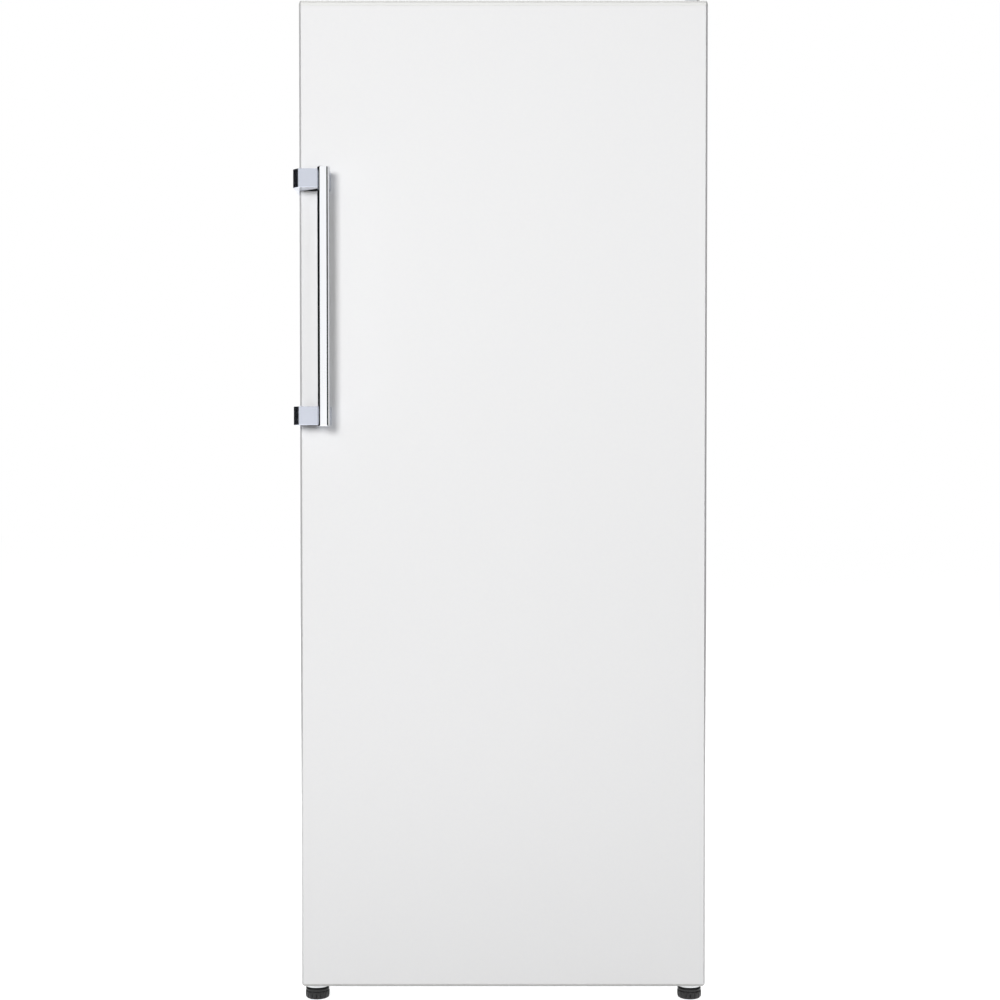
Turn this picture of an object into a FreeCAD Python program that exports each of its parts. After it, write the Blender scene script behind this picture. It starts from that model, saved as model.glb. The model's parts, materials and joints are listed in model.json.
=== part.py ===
import FreeCAD, Part
import math
import os
import Sketcher

# Upright freezer with one full-height door. Millimetres, X to the right when facing the
# door, Y from the door into the freezer, Z up, floor at Z = 0, origin under the middle.

Vector = FreeCAD.Vector
document = FreeCAD.newDocument("upright_freezer")
sheet = document.addObject("Spreadsheet::Sheet", "dims")

DRIVING_SIZES = (
    # Cabinet: the painted sheet wrap, the foamed walls and the cold space.
    ("cabinet_width", 600), ("cabinet_depth", 560), ("cabinet_base", 21), ("cabinet_top", 1481),
    ("cabinet_wall", 60), ("steel_sheet", 1), ("plastic_sheet", 2), ("front_return", 18),
    ("cavity_floor", 95), ("tub_corner", 18), ("wrap_corner", 6),
    # Compressor bay, cut into the lower rear of the cabinet.
    ("bay_height", 220), ("bay_depth", 170), ("bay_slope", 50), ("bay_cover", 55),
    # Door: a folded front, two end caps, foam and a moulded liner.
    ("door_face", -299), ("door_thickness", 58), ("door_gap", 12), ("door_base", 25),
    ("door_top", 1479), ("flank_width", 3.6), ("flank_depth", 9), ("cap_height", 9),
    ("dyke_half_width", 215), ("dyke_depth", 91), ("dyke_base", 140), ("dyke_top", 1400),
    ("dyke_wall", 25), ("rack_pitch", 245), ("rack_floor", 14), ("rack_count", 5),
    ("rail_height", 48), ("rail_lift", 24), ("rail_sheet", 3),
    ("gasket_width", 22), ("gasket_edge", 10),
    # Hinge axis, brackets, pins and feet.
    ("hinge_inset", 21), ("hinge_setback", 34), ("bracket_sheet", 3), ("pin_radius", 5),
    ("running_clearance", 0.05), ("foot_radius", 18), ("foot_height", 17.7), ("stud_radius", 4),
    ("foot_grooves", 16), ("bracket_reach", 17), ("bracket_width", 60), ("bracket_tail", 64),
    ("screw_head", 10), ("screw_height", 4),
    ("roller_radius", 20), ("roller_width", 22), ("roller_setback", 41), ("roller_inset", 45),
    ("axle_radius", 4),
    # Pull handle: a round bar on two cranked end blocks.
    ("bar_radius", 8.75), ("bar_centre", -259.6), ("bar_standoff", 43), ("bar_base", 855),
    ("bar_top", 1229), ("block_height", 27), ("block_inset", 1.9), ("block_outside", 304.9),
    ("block_wrap", 48), ("block_chamfer_x", 8.8), ("block_chamfer_y", 11),
    # Wire-on-tube shelves that are also the evaporator, and the wire condenser.
    ("shelf_count", 4), ("shelf_base", 345), ("shelf_pitch", 270), ("tube_flats", 8),
    ("shelf_runs", 6), ("shelf_run_pitch", 66), ("shelf_rear_run", 240), ("shelf_left", -175),
    ("shelf_right", 195), ("return_run", -226), ("tube_start", -206), ("shelf_wire", 2.2),
    ("shelf_wires", 19), ("shelf_wire_pitch", 23.3), ("shelf_wire_start", -205),
    ("shelf_front", -114), ("link_bend", 14),
    ("condenser_runs", 11), ("condenser_pitch", 96), ("condenser_base", 330),
    ("condenser_half", 195), ("condenser_flats", 5), ("condenser_wires", 15),
    ("condenser_wire", 1.6), ("condenser_wire_pitch", 30), ("condenser_offset", 12),
    ("riser_x", 262), ("riser_end", 22), ("dryer_x", -222), ("dryer_setback", 30),
    # Compressor and its mounting.
    ("compressor_x", 30), ("compressor_y", 243), ("compressor_radius", 72),
    ("compressor_height", 160), ("tray_top", 48), ("grommet_height", 10), ("feet_sheet", 2.5),
    # Bottom basket.
    ("basket_half", 222), ("basket_front", -116), ("basket_rear", 40), ("basket_height", 190),
    ("basket_rim", 5), ("basket_wire", 3), ("basket_gap", 36),
    # Thermostat.
    ("thermostat_y", -76), ("thermostat_z", 1310), ("dial_radius", 17), ("dial_depth", 14),
)

for row, (alias, value) in enumerate(DRIVING_SIZES, 1):
    sheet.set("A%d" % row, alias)
    sheet.set("B%d" % row, str(value))
    sheet.setAlias("B%d" % row, alias)
document.recompute()


class Size:
    """A length worked out from sheet cells: its formula, and what it comes to."""

    def __init__(self, formula, value):
        self.formula = formula
        self.value = float(value)

    def __add__(self, other):
        other = sized(other)
        return Size("(%s + %s)" % (self.formula, other.formula), self.value + other.value)

    def __sub__(self, other):
        other = sized(other)
        return Size("(%s - %s)" % (self.formula, other.formula), self.value - other.value)

    def __mul__(self, other):
        other = sized(other)
        return Size("(%s * %s)" % (self.formula, other.formula), self.value * other.value)

    def __truediv__(self, other):
        other = sized(other)
        return Size("(%s / %s)" % (self.formula, other.formula), self.value / other.value)

    def __neg__(self):
        return Size("(0 - %s)" % self.formula, -self.value)

    def __radd__(self, other):
        return sized(other) + self

    def __rsub__(self, other):
        return sized(other) - self

    def __rmul__(self, other):
        return sized(other) * self

    def __float__(self):
        return self.value


def sized(length):
    """A plain number as a Size, and a Size as it is."""
    if isinstance(length, Size):
        return length
    text = str(length) if length >= 0 else "(0 - %s)" % -length
    return Size(text, length)


def cell(alias):
    """The sheet's cell of that name."""
    return Size("dims." + alias, sheet.get(alias))


def count(alias):
    """A cell that holds a number of things."""
    return int(sheet.get(alias))


def bind(item, setting, length):
    item.setExpression(setting, sized(length).formula)


def place(item, x, y, z):
    for axis, length in zip("xyz", (x, y, z)):
        bind(item, "Placement.Base." + axis, length)
    return item


def block(name, low, high):
    """A box between two opposite corners."""
    item = document.addObject("Part::Box", name)
    for setting, start, end in zip(("Length", "Width", "Height"), low, high):
        bind(item, setting, sized(end) - start)
    return place(item, *low)


TURNS = {
    "z": FreeCAD.Rotation(),
    "x": FreeCAD.Rotation(Vector(0, 1, 0), 90),
    "y": FreeCAD.Rotation(Vector(1, 0, 0), -90),
}


def rod(name, start, radius, length, along="z"):
    """A round bar from its start point along one axis."""
    item = document.addObject("Part::Cylinder", name)
    item.Placement = FreeCAD.Placement(Vector(), TURNS[along])
    bind(item, "Radius", radius)
    bind(item, "Height", length)
    return place(item, *start)


def hexagon(name, start, across_corners, length):
    """A six-sided upright bar, as a screw's head."""
    item = document.addObject("Part::Prism", name)
    item.Polygon = 6
    bind(item, "Circumradius", sized(across_corners) / 2)
    bind(item, "Height", length)
    return place(item, *start)


def prism(name, start, radius, length, along="z", sides=16):
    """A straight bar with many flats, each flat at the given radius from its axis."""
    item = document.addObject("Part::Prism", name)
    item.Polygon = sides
    item.Placement = FreeCAD.Placement(Vector(), TURNS[along])
    bind(item, "Circumradius", sized(radius) / math.cos(math.pi / sides))
    bind(item, "Height", length)
    return place(item, *start)


def regular(x, y, radius, sides):
    """Corners of a regular polygon."""
    return [(x + radius * math.cos(math.tau * step / sides), y + radius * math.sin(math.tau * step / sides))
            for step in range(sides)]


def stacked(name, corners, x, y, sides):
    """A round piece with flats: rings of (radius, height) joined by flat faces."""
    rings = []
    for radius, height in corners:
        ring = [Vector(float(u), float(v), float(height)) for u, v in regular(x, y, sized(radius), sides)]
        rings.append(ring + ring[:1])
    faces = [Part.Face(Part.makePolygon(rings[0])), Part.Face(Part.makePolygon(rings[-1]))]
    for lower, upper in zip(rings, rings[1:]):
        for step in range(sides):
            spots = (lower[step], lower[step + 1], upper[step + 1], upper[step], lower[step])
            faces.append(Part.Face(Part.makePolygon(spots)))
    solid = Part.Solid(Part.Shell(faces))
    if solid.Volume < 0:
        solid.reverse()
    return solid_feature(name, solid)


def join(name, items):
    item = document.addObject("Part::MultiFuse", name)
    item.Shapes = items
    return item


def together(name, items):
    """Separate solids that share one name."""
    item = document.addObject("Part::Compound", name)
    item.Links = items
    return item


def cut(name, base, tools):
    tool = tools[0] if len(tools) == 1 else together(name + "_tools", tools)
    item = document.addObject("Part::Cut", name)
    item.Base = base
    item.Tool = tool
    return item


def new_body(name):
    return document.addObject("PartDesign::Body", name)


def origin_plane(body, role):
    return next(part for part in body.Origin.OriginFeatures if part.Role == role)


PLANES = {"x": ("YZ_Plane", 1), "y": ("XZ_Plane", -1), "z": ("XY_Plane", 1)}


def outline_sketch(body, name, normal, corners, offset):
    """A closed outline of straight lines, each corner held at its two sizes."""
    role, side = PLANES[normal]
    sketch = body.newObject("Sketcher::SketchObject", name)
    sketch.AttachmentSupport = [(origin_plane(body, role), "")]
    sketch.MapMode = "FlatFace"
    bind(sketch, "AttachmentOffset.Base.z", sized(offset) * side)
    spots = [(sized(u), sized(v)) for u, v in corners]
    for (u, v), (u_next, v_next) in zip(spots, spots[1:] + spots[:1]):
        line = Part.LineSegment(Vector(float(u), float(v), 0), Vector(float(u_next), float(v_next), 0))
        sketch.addGeometry(line, False)
    for index in range(len(spots)):
        sketch.addConstraint(Sketcher.Constraint("Coincident", index, 2, (index + 1) % len(spots), 1))
    for index, (u, v) in enumerate(spots):
        for kind, length in (("DistanceX", u), ("DistanceY", v)):
            spot = sketch.addConstraint(Sketcher.Constraint(kind, -1, 1, index, 1, float(length)))
            sketch.setExpression("Constraints[%d]" % spot, length.formula)
    return sketch


def pad(body, name, normal, corners, low, high):
    """An outline drawn square to an axis and padded between two places on it."""
    start = high if normal == "y" else low
    sketch = outline_sketch(body, name + "_outline", normal, corners, start)
    feature = body.newObject("PartDesign::Pad", name)
    feature.Profile = sketch
    bind(feature, "Length", sized(high) - low)
    sketch.Visibility = False
    document.recompute()
    return feature


def slab(name, normal, corners, low, high):
    """A body of one padded outline."""
    body = new_body(name)
    pad(body, name + "_pad", normal, corners, low, high)
    return body


def turned(name, corners, x, y, z=0, along="z"):
    """A turned piece: (radius, height) corners spun about an axis."""
    body = new_body(name)
    sketch = outline_sketch(body, name + "_outline", "y", corners, 0)
    feature = body.newObject("PartDesign::Revolution", name + "_turn")
    feature.Profile = sketch
    feature.ReferenceAxis = (sketch, ["V_Axis"])
    feature.Angle = 360
    body.Placement = FreeCAD.Placement(Vector(), TURNS[along])
    place(body, x, y, z)
    document.recompute()
    return body


def edges_where(shape, test):
    return ["Edge%d" % (index + 1) for index, edge in enumerate(shape.Edges) if test(edge)]


def runs_along(edge, axis):
    """True for a straight edge along one axis."""
    box = edge.BoundBox
    lengths = {"x": box.XLength, "y": box.YLength, "z": box.ZLength}
    return all(lengths[other] < 1e-6 for other in lengths if other != axis) and lengths[axis] > 1e-6


def soften(body, name, size, test, kind="Fillet"):
    """A fillet or a chamfer on those edges of a body that pass the test."""
    before = body.Tip
    feature = body.newObject("PartDesign::" + kind, name)
    feature.Base = (before, edges_where(before.Shape, test))
    bind(feature, {"Fillet": "Radius", "Chamfer": "Size"}[kind], size)
    document.recompute()
    return feature


def solid_feature(name, shape):
    """A piece that neither sketches nor primitives fit, such as a long bent tube."""
    item = document.addObject("Part::Feature", name)
    item.Shape = shape
    item.Placement = FreeCAD.Placement()
    return item


def eased(points, bend, facets):
    """Corner points of a bent tube, each corner replaced by short chords of its bend."""
    spots = [Vector(*[float(number) for number in point]) for point in points]
    bend = float(bend)
    route = [spots[0]]
    for before, corner, after in zip(spots, spots[1:], spots[2:]):
        inward = (before - corner).normalize()
        outward = (after - corner).normalize()
        half_turn = (math.pi - inward.getAngle(outward)) / 2
        room_before = (before - corner).Length * (0.5 if before is not spots[0] else 0.92)
        room_after = (after - corner).Length * (0.5 if after is not spots[-1] else 0.92)
        reach = min(bend * math.tan(half_turn), room_before, room_after)
        radius = reach / math.tan(half_turn)
        hub = corner + (inward + outward).normalize() * (radius / math.cos(half_turn))
        arm = (corner + inward * reach - hub).normalize()
        swing = -inward
        steps = max(2, round(facets * half_turn * 4 / math.pi))
        for step in range(steps + 1):
            angle = 2 * half_turn * step / steps
            spot = hub + (arm * math.cos(angle) + swing * math.sin(angle)) * radius
            if (spot - route[-1]).Length > 0.01:
                route.append(spot)
    route.append(spots[-1])
    return route


def tube(points, bend, flats, sides=6, facets=2):
    """A thin tube along a bent path. Its section is a polygon with flats above and below."""
    route = eased(points, bend, facets)
    heading = (route[1] - route[0]).normalize()
    across = heading.cross(Vector(0, 0, 1))
    across = across.normalize() if across.Length > 1e-6 else Vector(1, 0, 0)
    upward = across.cross(heading)
    radius = float(flats) / 2 / math.cos(math.pi / sides)
    angles = [math.tau * (step + 0.5) / sides + math.pi / 2 for step in range(sides)]
    ring = [route[0] + (across * math.cos(turn) + upward * math.sin(turn)) * radius for turn in angles]
    sharp_corners = 1
    section = Part.makePolygon(ring + ring[:1])
    solid = Part.makePolygon(route).makePipeShell([section], True, False, sharp_corners)
    if not solid.isValid() or solid.Volume <= 0:
        raise SystemExit("a tube came out broken")
    return solid


def straight_wire(low, high):
    """A square wire, given as the box that it fills."""
    start = Vector(*[float(number) for number in low])
    end = Vector(*[float(number) for number in high])
    size = end - start
    return Part.makeBox(size.x, size.y, size.z, start)


# The places that most pieces are set out from.
half_width = cell("cabinet_width") / 2
base = cell("cabinet_base")
top = cell("cabinet_top")
skin = cell("steel_sheet")
liner = cell("plastic_sheet")
wall = cell("cabinet_wall")
door_front = cell("door_face")
door_back = door_front + cell("door_thickness")
front = door_back + cell("door_gap")
rear = front + cell("cabinet_depth")
cavity_floor = cell("cavity_floor")
cavity_ceiling = top - wall
cavity_half = half_width - wall
cavity_rear = rear - wall
bay_top = base + cell("bay_height")
bay_front = rear - cell("bay_depth") - cell("bay_slope")
bay_back = rear - cell("bay_depth")
hinge_x = half_width - cell("hinge_inset")
hinge_y = door_front + cell("hinge_setback")
pin = cell("pin_radius")
clearance = cell("running_clearance")
plate = cell("bracket_sheet")
low_plate = base - plate
nodes = []


def node(item):
    """Marks an object as one of the freezer's pieces."""
    nodes.append(item)
    return item


# ---- Cabinet shell -------------------------------------------------------------------

def arch(inset, thickness):
    """The outline of the wrap seen from the front: two sides and a top."""
    outer = half_width - inset
    inner = outer - thickness
    crown = top - inset
    return (
        (-outer, base), (-outer, crown), (outer, crown), (outer, base),
        (inner, base), (inner, crown - thickness), (-inner, crown - thickness), (-inner, base),
    )


def at_crown(inset, edge):
    centre = edge.CenterOfMass
    level = abs(centre.z - float(top - inset)) < 0.01
    return runs_along(edge, "y") and level and abs(abs(centre.x) - float(half_width - inset)) < 0.01


def outer_wrap():
    """One sheet folded over both sides and the top, returned inward along the front."""
    body = new_body("outer_wrap")
    pad(body, "wrap_sheet", "y", arch(sized(0), skin), front, rear)
    pad(body, "wrap_return", "y", arch(sized(0), cell("front_return")), front, front + skin)
    soften(body, "wrap_bend", cell("wrap_corner"), lambda edge: at_crown(sized(0), edge))
    soften(body, "wrap_inner_bend", cell("wrap_corner") - skin, lambda edge: at_crown(skin, edge))
    return body


def rounded_panel(name, corners, crown_half, crown, low, high):
    """An upright panel whose two upper corners follow the bends of the wrap."""
    body = slab(name, "y", corners, low, high)

    def upper(edge):
        centre = edge.CenterOfMass
        return runs_along(edge, "y") and abs(centre.z - float(crown)) < 0.01 and abs(centre.x) > crown_half

    soften(body, name + "_corners", cell("wrap_corner") - skin, upper)
    return body


def tub(name, grow):
    """The cold space as a solid, swollen outward by a skin's thickness."""
    run = cell("bay_slope") / cell("bay_height")
    hump_top = bay_top + cell("bay_cover")
    hump_foot = bay_front - cell("bay_cover") + grow
    corners = (
        (front, cavity_floor - grow),
        (hump_foot, cavity_floor - grow),
        (hump_foot + (hump_top - cavity_floor) * run, hump_top - grow),
        (cavity_rear + grow, hump_top - grow),
        (cavity_rear + grow, cavity_ceiling + grow),
        (front, cavity_ceiling + grow),
    )
    body = slab(name, "x", corners, -(cavity_half + grow), cavity_half + grow)

    def rounded(edge):
        level = edge.CenterOfMass.z
        floor_gap = abs(level - float(cavity_floor - grow))
        ceiling_gap = abs(level - float(cavity_ceiling + grow))
        return runs_along(edge, "y") and min(floor_gap, ceiling_gap) < 0.01

    soften(body, name + "_corners", cell("tub_corner") + grow, rounded)
    return body


def inner_liner():
    """A vacuum-formed plastic tub with a flat flange round its mouth."""
    flange_half = half_width - cell("front_return")
    flange = block("flange_plate", (-flange_half, front, base + cell("front_return")),
                   (flange_half, front + liner, top - cell("front_return")))
    shell = join("liner_solid", [tub("liner_outside", liner), flange])
    return cut("inner_liner", shell, [tub("liner_inside", sized(0))])


def bay_outline(lift):
    """The compressor bay's section, seen from the side, with its roof raised by a lift."""
    return (
        (bay_front - lift, sized(0)), (bay_front - lift, base + lift), (bay_back - lift, bay_top + lift),
        (rear + 1, bay_top + lift), (rear + 1, sized(0)),
    )


def foam_insulation():
    """Foam that fills the walls and glues the wrap, the liner and the base together."""
    outer = half_width - skin
    corners = ((-outer, base + skin), (-outer, top - skin), (outer, top - skin), (outer, base + skin))
    filling = rounded_panel("foam_filling", corners, 100, top - skin, front + liner, rear - skin)
    bay = slab("bay_space", "x", bay_outline(skin), -half_width, half_width)
    return cut("foam_insulation", filling, [tub("foam_hollow", liner), bay])


def bottom_pan():
    """A bent sheet: front lip, floor, the slope over the compressor and the bay's roof."""
    reach = half_width - skin
    lip_reach = half_width - cell("front_return")
    lip_top = base + cell("front_return")
    corners = (
        (front + skin, base), (bay_front, base), (bay_back, bay_top), (rear, bay_top),
        (rear, bay_top + skin), (bay_back - skin, bay_top + skin), (bay_front - skin, base + skin),
        (front + skin, base + skin),
    )
    body = new_body("bottom_pan")
    pad(body, "pan_sheet", "x", corners, -reach, reach)
    lip = ((front, base), (front + skin, base), (front + skin, lip_top), (front, lip_top))
    pad(body, "pan_lip", "x", lip, -lip_reach, lip_reach)
    return body


def back_panel():
    outer = half_width - skin
    low = bay_top + skin
    corners = ((-outer, low), (-outer, top - skin), (outer, top - skin), (outer, low))
    return rounded_panel("back_panel", corners, 100, top - skin, rear - skin, rear)


node(outer_wrap())
node(inner_liner())
node(foam_insulation())
node(bottom_pan())
node(back_panel())


# ---- Hinges, feet and rollers ----------------------------------------------------------

# Small round pins carry this many flats, and their corners lie on the true circle.
PIN_SIDES = 16
PIN_FLAT = math.cos(math.pi / PIN_SIDES)
PIN_REACH = 20
STUD_END = 4
COLLAR_HEIGHT = 2.6
COLLAR_CORNERS = pin * 2 + 9
NOSE_SHARE = 0.586  # leaves half an octagon round the pin


def floor_bracket(name, side):
    """A flat plate under the cabinet whose nose reaches forward below the door."""
    reach = cell("bracket_reach")
    x = hinge_x * side
    inner = x - reach * side
    outer = x + reach * side
    wide = outer - cell("bracket_width") * side
    tail = front + cell("bracket_tail")
    corners = (
        (inner, hinge_y - reach), (outer, hinge_y - reach), (outer, tail),
        (wide, tail), (wide, front + 4), (inner, front - 11),
    )
    if side < 0:
        corners = corners[::-1]
    body = slab(name + "_plate", "z", corners, low_plate, base)

    def nose(edge):
        return runs_along(edge, "z") and edge.CenterOfMass.y < float(hinge_y)

    soften(body, name + "_nose", reach * NOSE_SHARE, nose, "Chamfer")
    hole = prism(name + "_hole", (x, hinge_y, low_plate - 1), pin, plate + 2, sides=PIN_SIDES)
    return cut(name, body, [hole])


def upper_hinge_bracket():
    """The plate on the cabinet's top that carries the upper pin over the door's corner."""
    reach = cell("bracket_reach") - 3
    inner = hinge_x - reach
    outer = hinge_x + reach
    wide = outer - cell("bracket_width")
    tail = front + cell("bracket_tail") + 6
    corners = (
        (inner, hinge_y - reach), (outer, hinge_y - reach), (outer, tail),
        (wide, tail), (wide, front + 6), (inner, front - 8),
    )
    body = slab("upper_hinge_plate", "z", corners, top, top + plate)

    def nose(edge):
        return runs_along(edge, "z") and edge.CenterOfMass.y < float(hinge_y)

    soften(body, "upper_hinge_nose", reach * NOSE_SHARE, nose, "Chamfer")
    hole = prism("upper_hinge_hole", (hinge_x, hinge_y, top - 1), pin, plate + 2, sides=PIN_SIDES)
    return cut("upper_hinge_bracket", body, [hole])


def upper_hinge_pin():
    """A round pin with a flat riveted head."""
    shank = prism("upper_pin_shank", (hinge_x, hinge_y, top - PIN_REACH), pin * PIN_FLAT, plate + PIN_REACH,
                  sides=PIN_SIDES)
    head = prism("upper_pin_head", (hinge_x, hinge_y, top + plate), pin + 2, 1.5, sides=PIN_SIDES)
    return join("upper_hinge_pin", [shank, head])


def threaded_end(name, x):
    """The thin lower end on which a foot is screwed."""
    radius = cell("stud_radius") * PIN_FLAT
    return prism(name, (x, hinge_y, STUD_END), radius, low_plate - STUD_END, sides=PIN_SIDES)


def lower_hinge_pin():
    """The pivot's upper end carries the door, and its threaded lower end carries the foot."""
    shank = prism("lower_pin_shank", (hinge_x, hinge_y, low_plate), pin * PIN_FLAT, plate + PIN_REACH,
                  sides=PIN_SIDES)
    collar = hexagon("lower_pin_collar", (hinge_x, hinge_y, base), COLLAR_CORNERS, COLLAR_HEIGHT)
    return join("lower_hinge_pin", [shank, collar, threaded_end("lower_pin_stud", hinge_x)])


def foot_stud():
    """The same threaded end on the side that has no hinge, with a low hexagon head."""
    neck = prism("left_stud_neck", (-hinge_x, hinge_y, low_plate), pin * PIN_FLAT, plate, sides=PIN_SIDES)
    head = hexagon("left_stud_head", (-hinge_x, hinge_y, base), COLLAR_CORNERS, COLLAR_HEIGHT)
    return join("left_foot_stud", [neck, head, threaded_end("left_stud_thread", -hinge_x)])


def hinge_washer():
    low = base + COLLAR_HEIGHT
    ring = prism("washer_ring", (hinge_x, hinge_y, low), pin + 5, 1)
    return cut("hinge_washer", ring, [prism("washer_bore", (hinge_x, hinge_y, low - 1), pin + clearance, 3)])


def levelling_foot(name, side):
    """A barrel-shaped foot with a grooved rim, threaded on its stud from below."""
    radius = cell("foot_radius")
    height = cell("foot_height")
    x = hinge_x * side
    grooves = count("foot_grooves")
    rim = []
    for step in range(grooves):
        for share, reach in ((0.0, radius), (0.5, radius), (0.75, radius - 1.3)):
            turn = math.tau * (step + share) / grooves
            rim.append((reach * math.cos(turn), reach * math.sin(turn)))
    body = new_body(name + "_grip")
    pad(body, name + "_rim", "z", rim, 3, height - 2.5)
    place(body, x, hinge_y, 0)
    sole = stacked(name + "_sole", ((radius - 3.5, 0), (radius - 1.3, 3)), x, hinge_y, grooves)
    crown_rings = ((radius - 1.3, height - 2.5), (radius - 3.5, height))
    crown = stacked(name + "_crown", crown_rings, x, hinge_y, grooves)
    bore = prism(name + "_bore", (x, hinge_y, 3), cell("stud_radius") + clearance, height)
    return cut(name, join(name + "_solid", [body, sole, crown]), [bore])


node(floor_bracket("lower_hinge_bracket", 1))
node(floor_bracket("left_foot_bracket", -1))
node(lower_hinge_pin())
node(foot_stud())
node(hinge_washer())
node(levelling_foot("right_levelling_foot", 1))
node(levelling_foot("left_levelling_foot", -1))
node(upper_hinge_bracket())
node(upper_hinge_pin())


def upper_hinge_cover():
    """A thin moulded cap over the plate's screws, open at the front where the plate leaves."""
    left, right = hinge_x - 52, half_width - 1
    near, far = front + 3, front + 78
    height = 12
    outline = ((left, near), (right, near), (right, far), (left, far))
    body = slab("cover_solid", "z", outline, top, top + height)
    soften(body, "cover_corners", 6, lambda edge: runs_along(edge, "z"), "Chamfer")
    hollow = block("cover_hollow", (left + liner, near + liner, top - 1),
                   (right - liner, far - liner, top + height - liner))
    slot = block("cover_slot", (left + 4, near - 1, top - 1), (right - 4, near + 3, top + plate + 0.4))
    return cut("upper_hinge_cover", body, [hollow, slot])


def hinge_screws():
    """Hexagon heads that hold the three bracket plates, seated on their faces."""
    across, height = cell("screw_head"), cell("screw_height")
    screws = []
    for index, (dx, dy) in enumerate(((-36, 20), (-6, 20), (-20, 56))):
        top_spot = (hinge_x + dx, front + dy, top + plate)
        screws.append(hexagon("top_screw_%d" % index, top_spot, across, height))
        for side in (1, -1):
            name = "base_screw_%d_%d" % (index, side + 1)
            spot = ((hinge_x + dx) * side, front + dy, low_plate - height)
            screws.append(hexagon(name, spot, across, height))
    return together("hinge_screws", screws)


node(upper_hinge_cover())
node(hinge_screws())

roller_x = half_width - cell("roller_inset")
roller_y = rear - cell("roller_setback")
roller_z = cell("roller_radius")
channel_half = cell("roller_width") / 2 + 4
CHANNEL_LOW = 12


def roller_bracket(name, side):
    """An upturned channel under the rear tray whose cheeks hold the axle."""
    x = roller_x * side
    left, right = x - channel_half, x + channel_half
    roof = cell("tray_top") - 2
    sheet = 2
    corners = (
        (left, CHANNEL_LOW), (left, roof), (right, roof), (right, CHANNEL_LOW),
        (right - sheet, CHANNEL_LOW), (right - sheet, roof - sheet),
        (left + sheet, roof - sheet), (left + sheet, CHANNEL_LOW),
    )
    body = slab(name + "_channel", "y", corners, roller_y - 13, roller_y + 13)
    start = (left - 1, roller_y, roller_z)
    return cut(name, body, [prism(name + "_hole", start, cell("axle_radius"), channel_half * 2 + 2, "x")])


def roller_axle(name, side):
    start = (roller_x * side - channel_half, roller_y, roller_z)
    return prism(name, start, cell("axle_radius") * PIN_FLAT, channel_half * 2, "x", PIN_SIDES)


def rear_roller(name, side):
    width = cell("roller_width")
    low = roller_x * side - width / 2
    sides = 28
    radius = roller_z * math.cos(math.pi / sides)
    tread = prism(name + "_tread", (low, roller_y, roller_z), radius, width, "x", sides)
    room = cell("axle_radius") + clearance
    return cut(name, tread, [prism(name + "_bore", (low - 1, roller_y, roller_z), room, width + 2, "x")])


for label, side in (("left", -1), ("right", 1)):
    node(roller_bracket("roller_bracket_" + label, side))
    node(rear_roller("rear_roller_" + label, side))
node(together("roller_axles", [roller_axle("left_axle", -1), roller_axle("right_axle", 1)]))


# ---- Door ------------------------------------------------------------------------------

def front_corners(side, inset):
    """The two bends of the door's edge, where a steep flank joins the face to the side."""
    turn_in = inset * 0.68
    turn_back = inset * 0.19
    on_face = (side * (half_width - cell("flank_width") - turn_in), door_front + inset)
    on_side = (side * (half_width - inset), door_front + cell("flank_depth") + turn_back)
    return on_face, on_side


def door_skin():
    """The painted front: one sheet folded back round both sides with short rear returns."""
    body = new_body("door_skin")
    low = cell("door_base") + 2
    high = cell("door_top") - 2
    inner = half_width - skin
    tuck = half_width - 12
    outer_left, outer_right = front_corners(-1, sized(0)), front_corners(1, sized(0))
    inner_left, inner_right = front_corners(-1, skin), front_corners(1, skin)
    corners = (
        outer_left[0], outer_right[0], outer_right[1], (half_width, door_back), (tuck, door_back),
        (tuck, door_back - skin), (inner, door_back - skin), inner_right[1], inner_right[0],
        inner_left[0], inner_left[1], (-inner, door_back - skin), (-tuck, door_back - skin),
        (-tuck, door_back), (-half_width, door_back), outer_left[1],
    )
    pad(body, "front_sheet", "z", corners, low, high)
    return body


def end_cap(name, low, high, foam_side):
    """A moulded cap that closes one end of the folded front."""
    body = new_body(name + "_solid")

    def outline(inset):
        side = half_width - inset
        left, right = front_corners(-1, inset), front_corners(1, inset)
        return (left[0], right[0], right[1], (side, door_back - inset), (-side, door_back - inset), left[1])

    outer = outline(sized(0))
    inner = outline(skin)
    shoulder = cell("cap_height") - 2
    if foam_side > 0:
        pad(body, name + "_rim", "z", outer, low, low + 2)
        pad(body, name + "_plug", "z", inner, low + 2, low + 2 + shoulder)
    else:
        pad(body, name + "_rim", "z", outer, high - 2, high)
        pad(body, name + "_plug", "z", inner, high - 2 - shoulder, high - 2)
    return body


bush_radius = pin + 3


def hinge_bush(name, low, flange):
    """A nylon bush pressed into an end cap of the door, blind at its inner end."""
    length = 20
    pieces = [prism(name + "_sleeve", (hinge_x, hinge_y, low), bush_radius, length)]
    if flange:
        pieces.append(prism(name + "_flange", (hinge_x, hinge_y, low + length), pin + 6, 1))
        hollow = prism(name + "_hollow", (hinge_x, hinge_y, low + 2), pin + clearance, length + 2)
        return cut(name, join(name + "_solid", pieces), [hollow])
    hollow = prism(name + "_hollow", (hinge_x, hinge_y, low - 1), pin + clearance, length - 1)
    return cut(name, pieces[0], [hollow])


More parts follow.
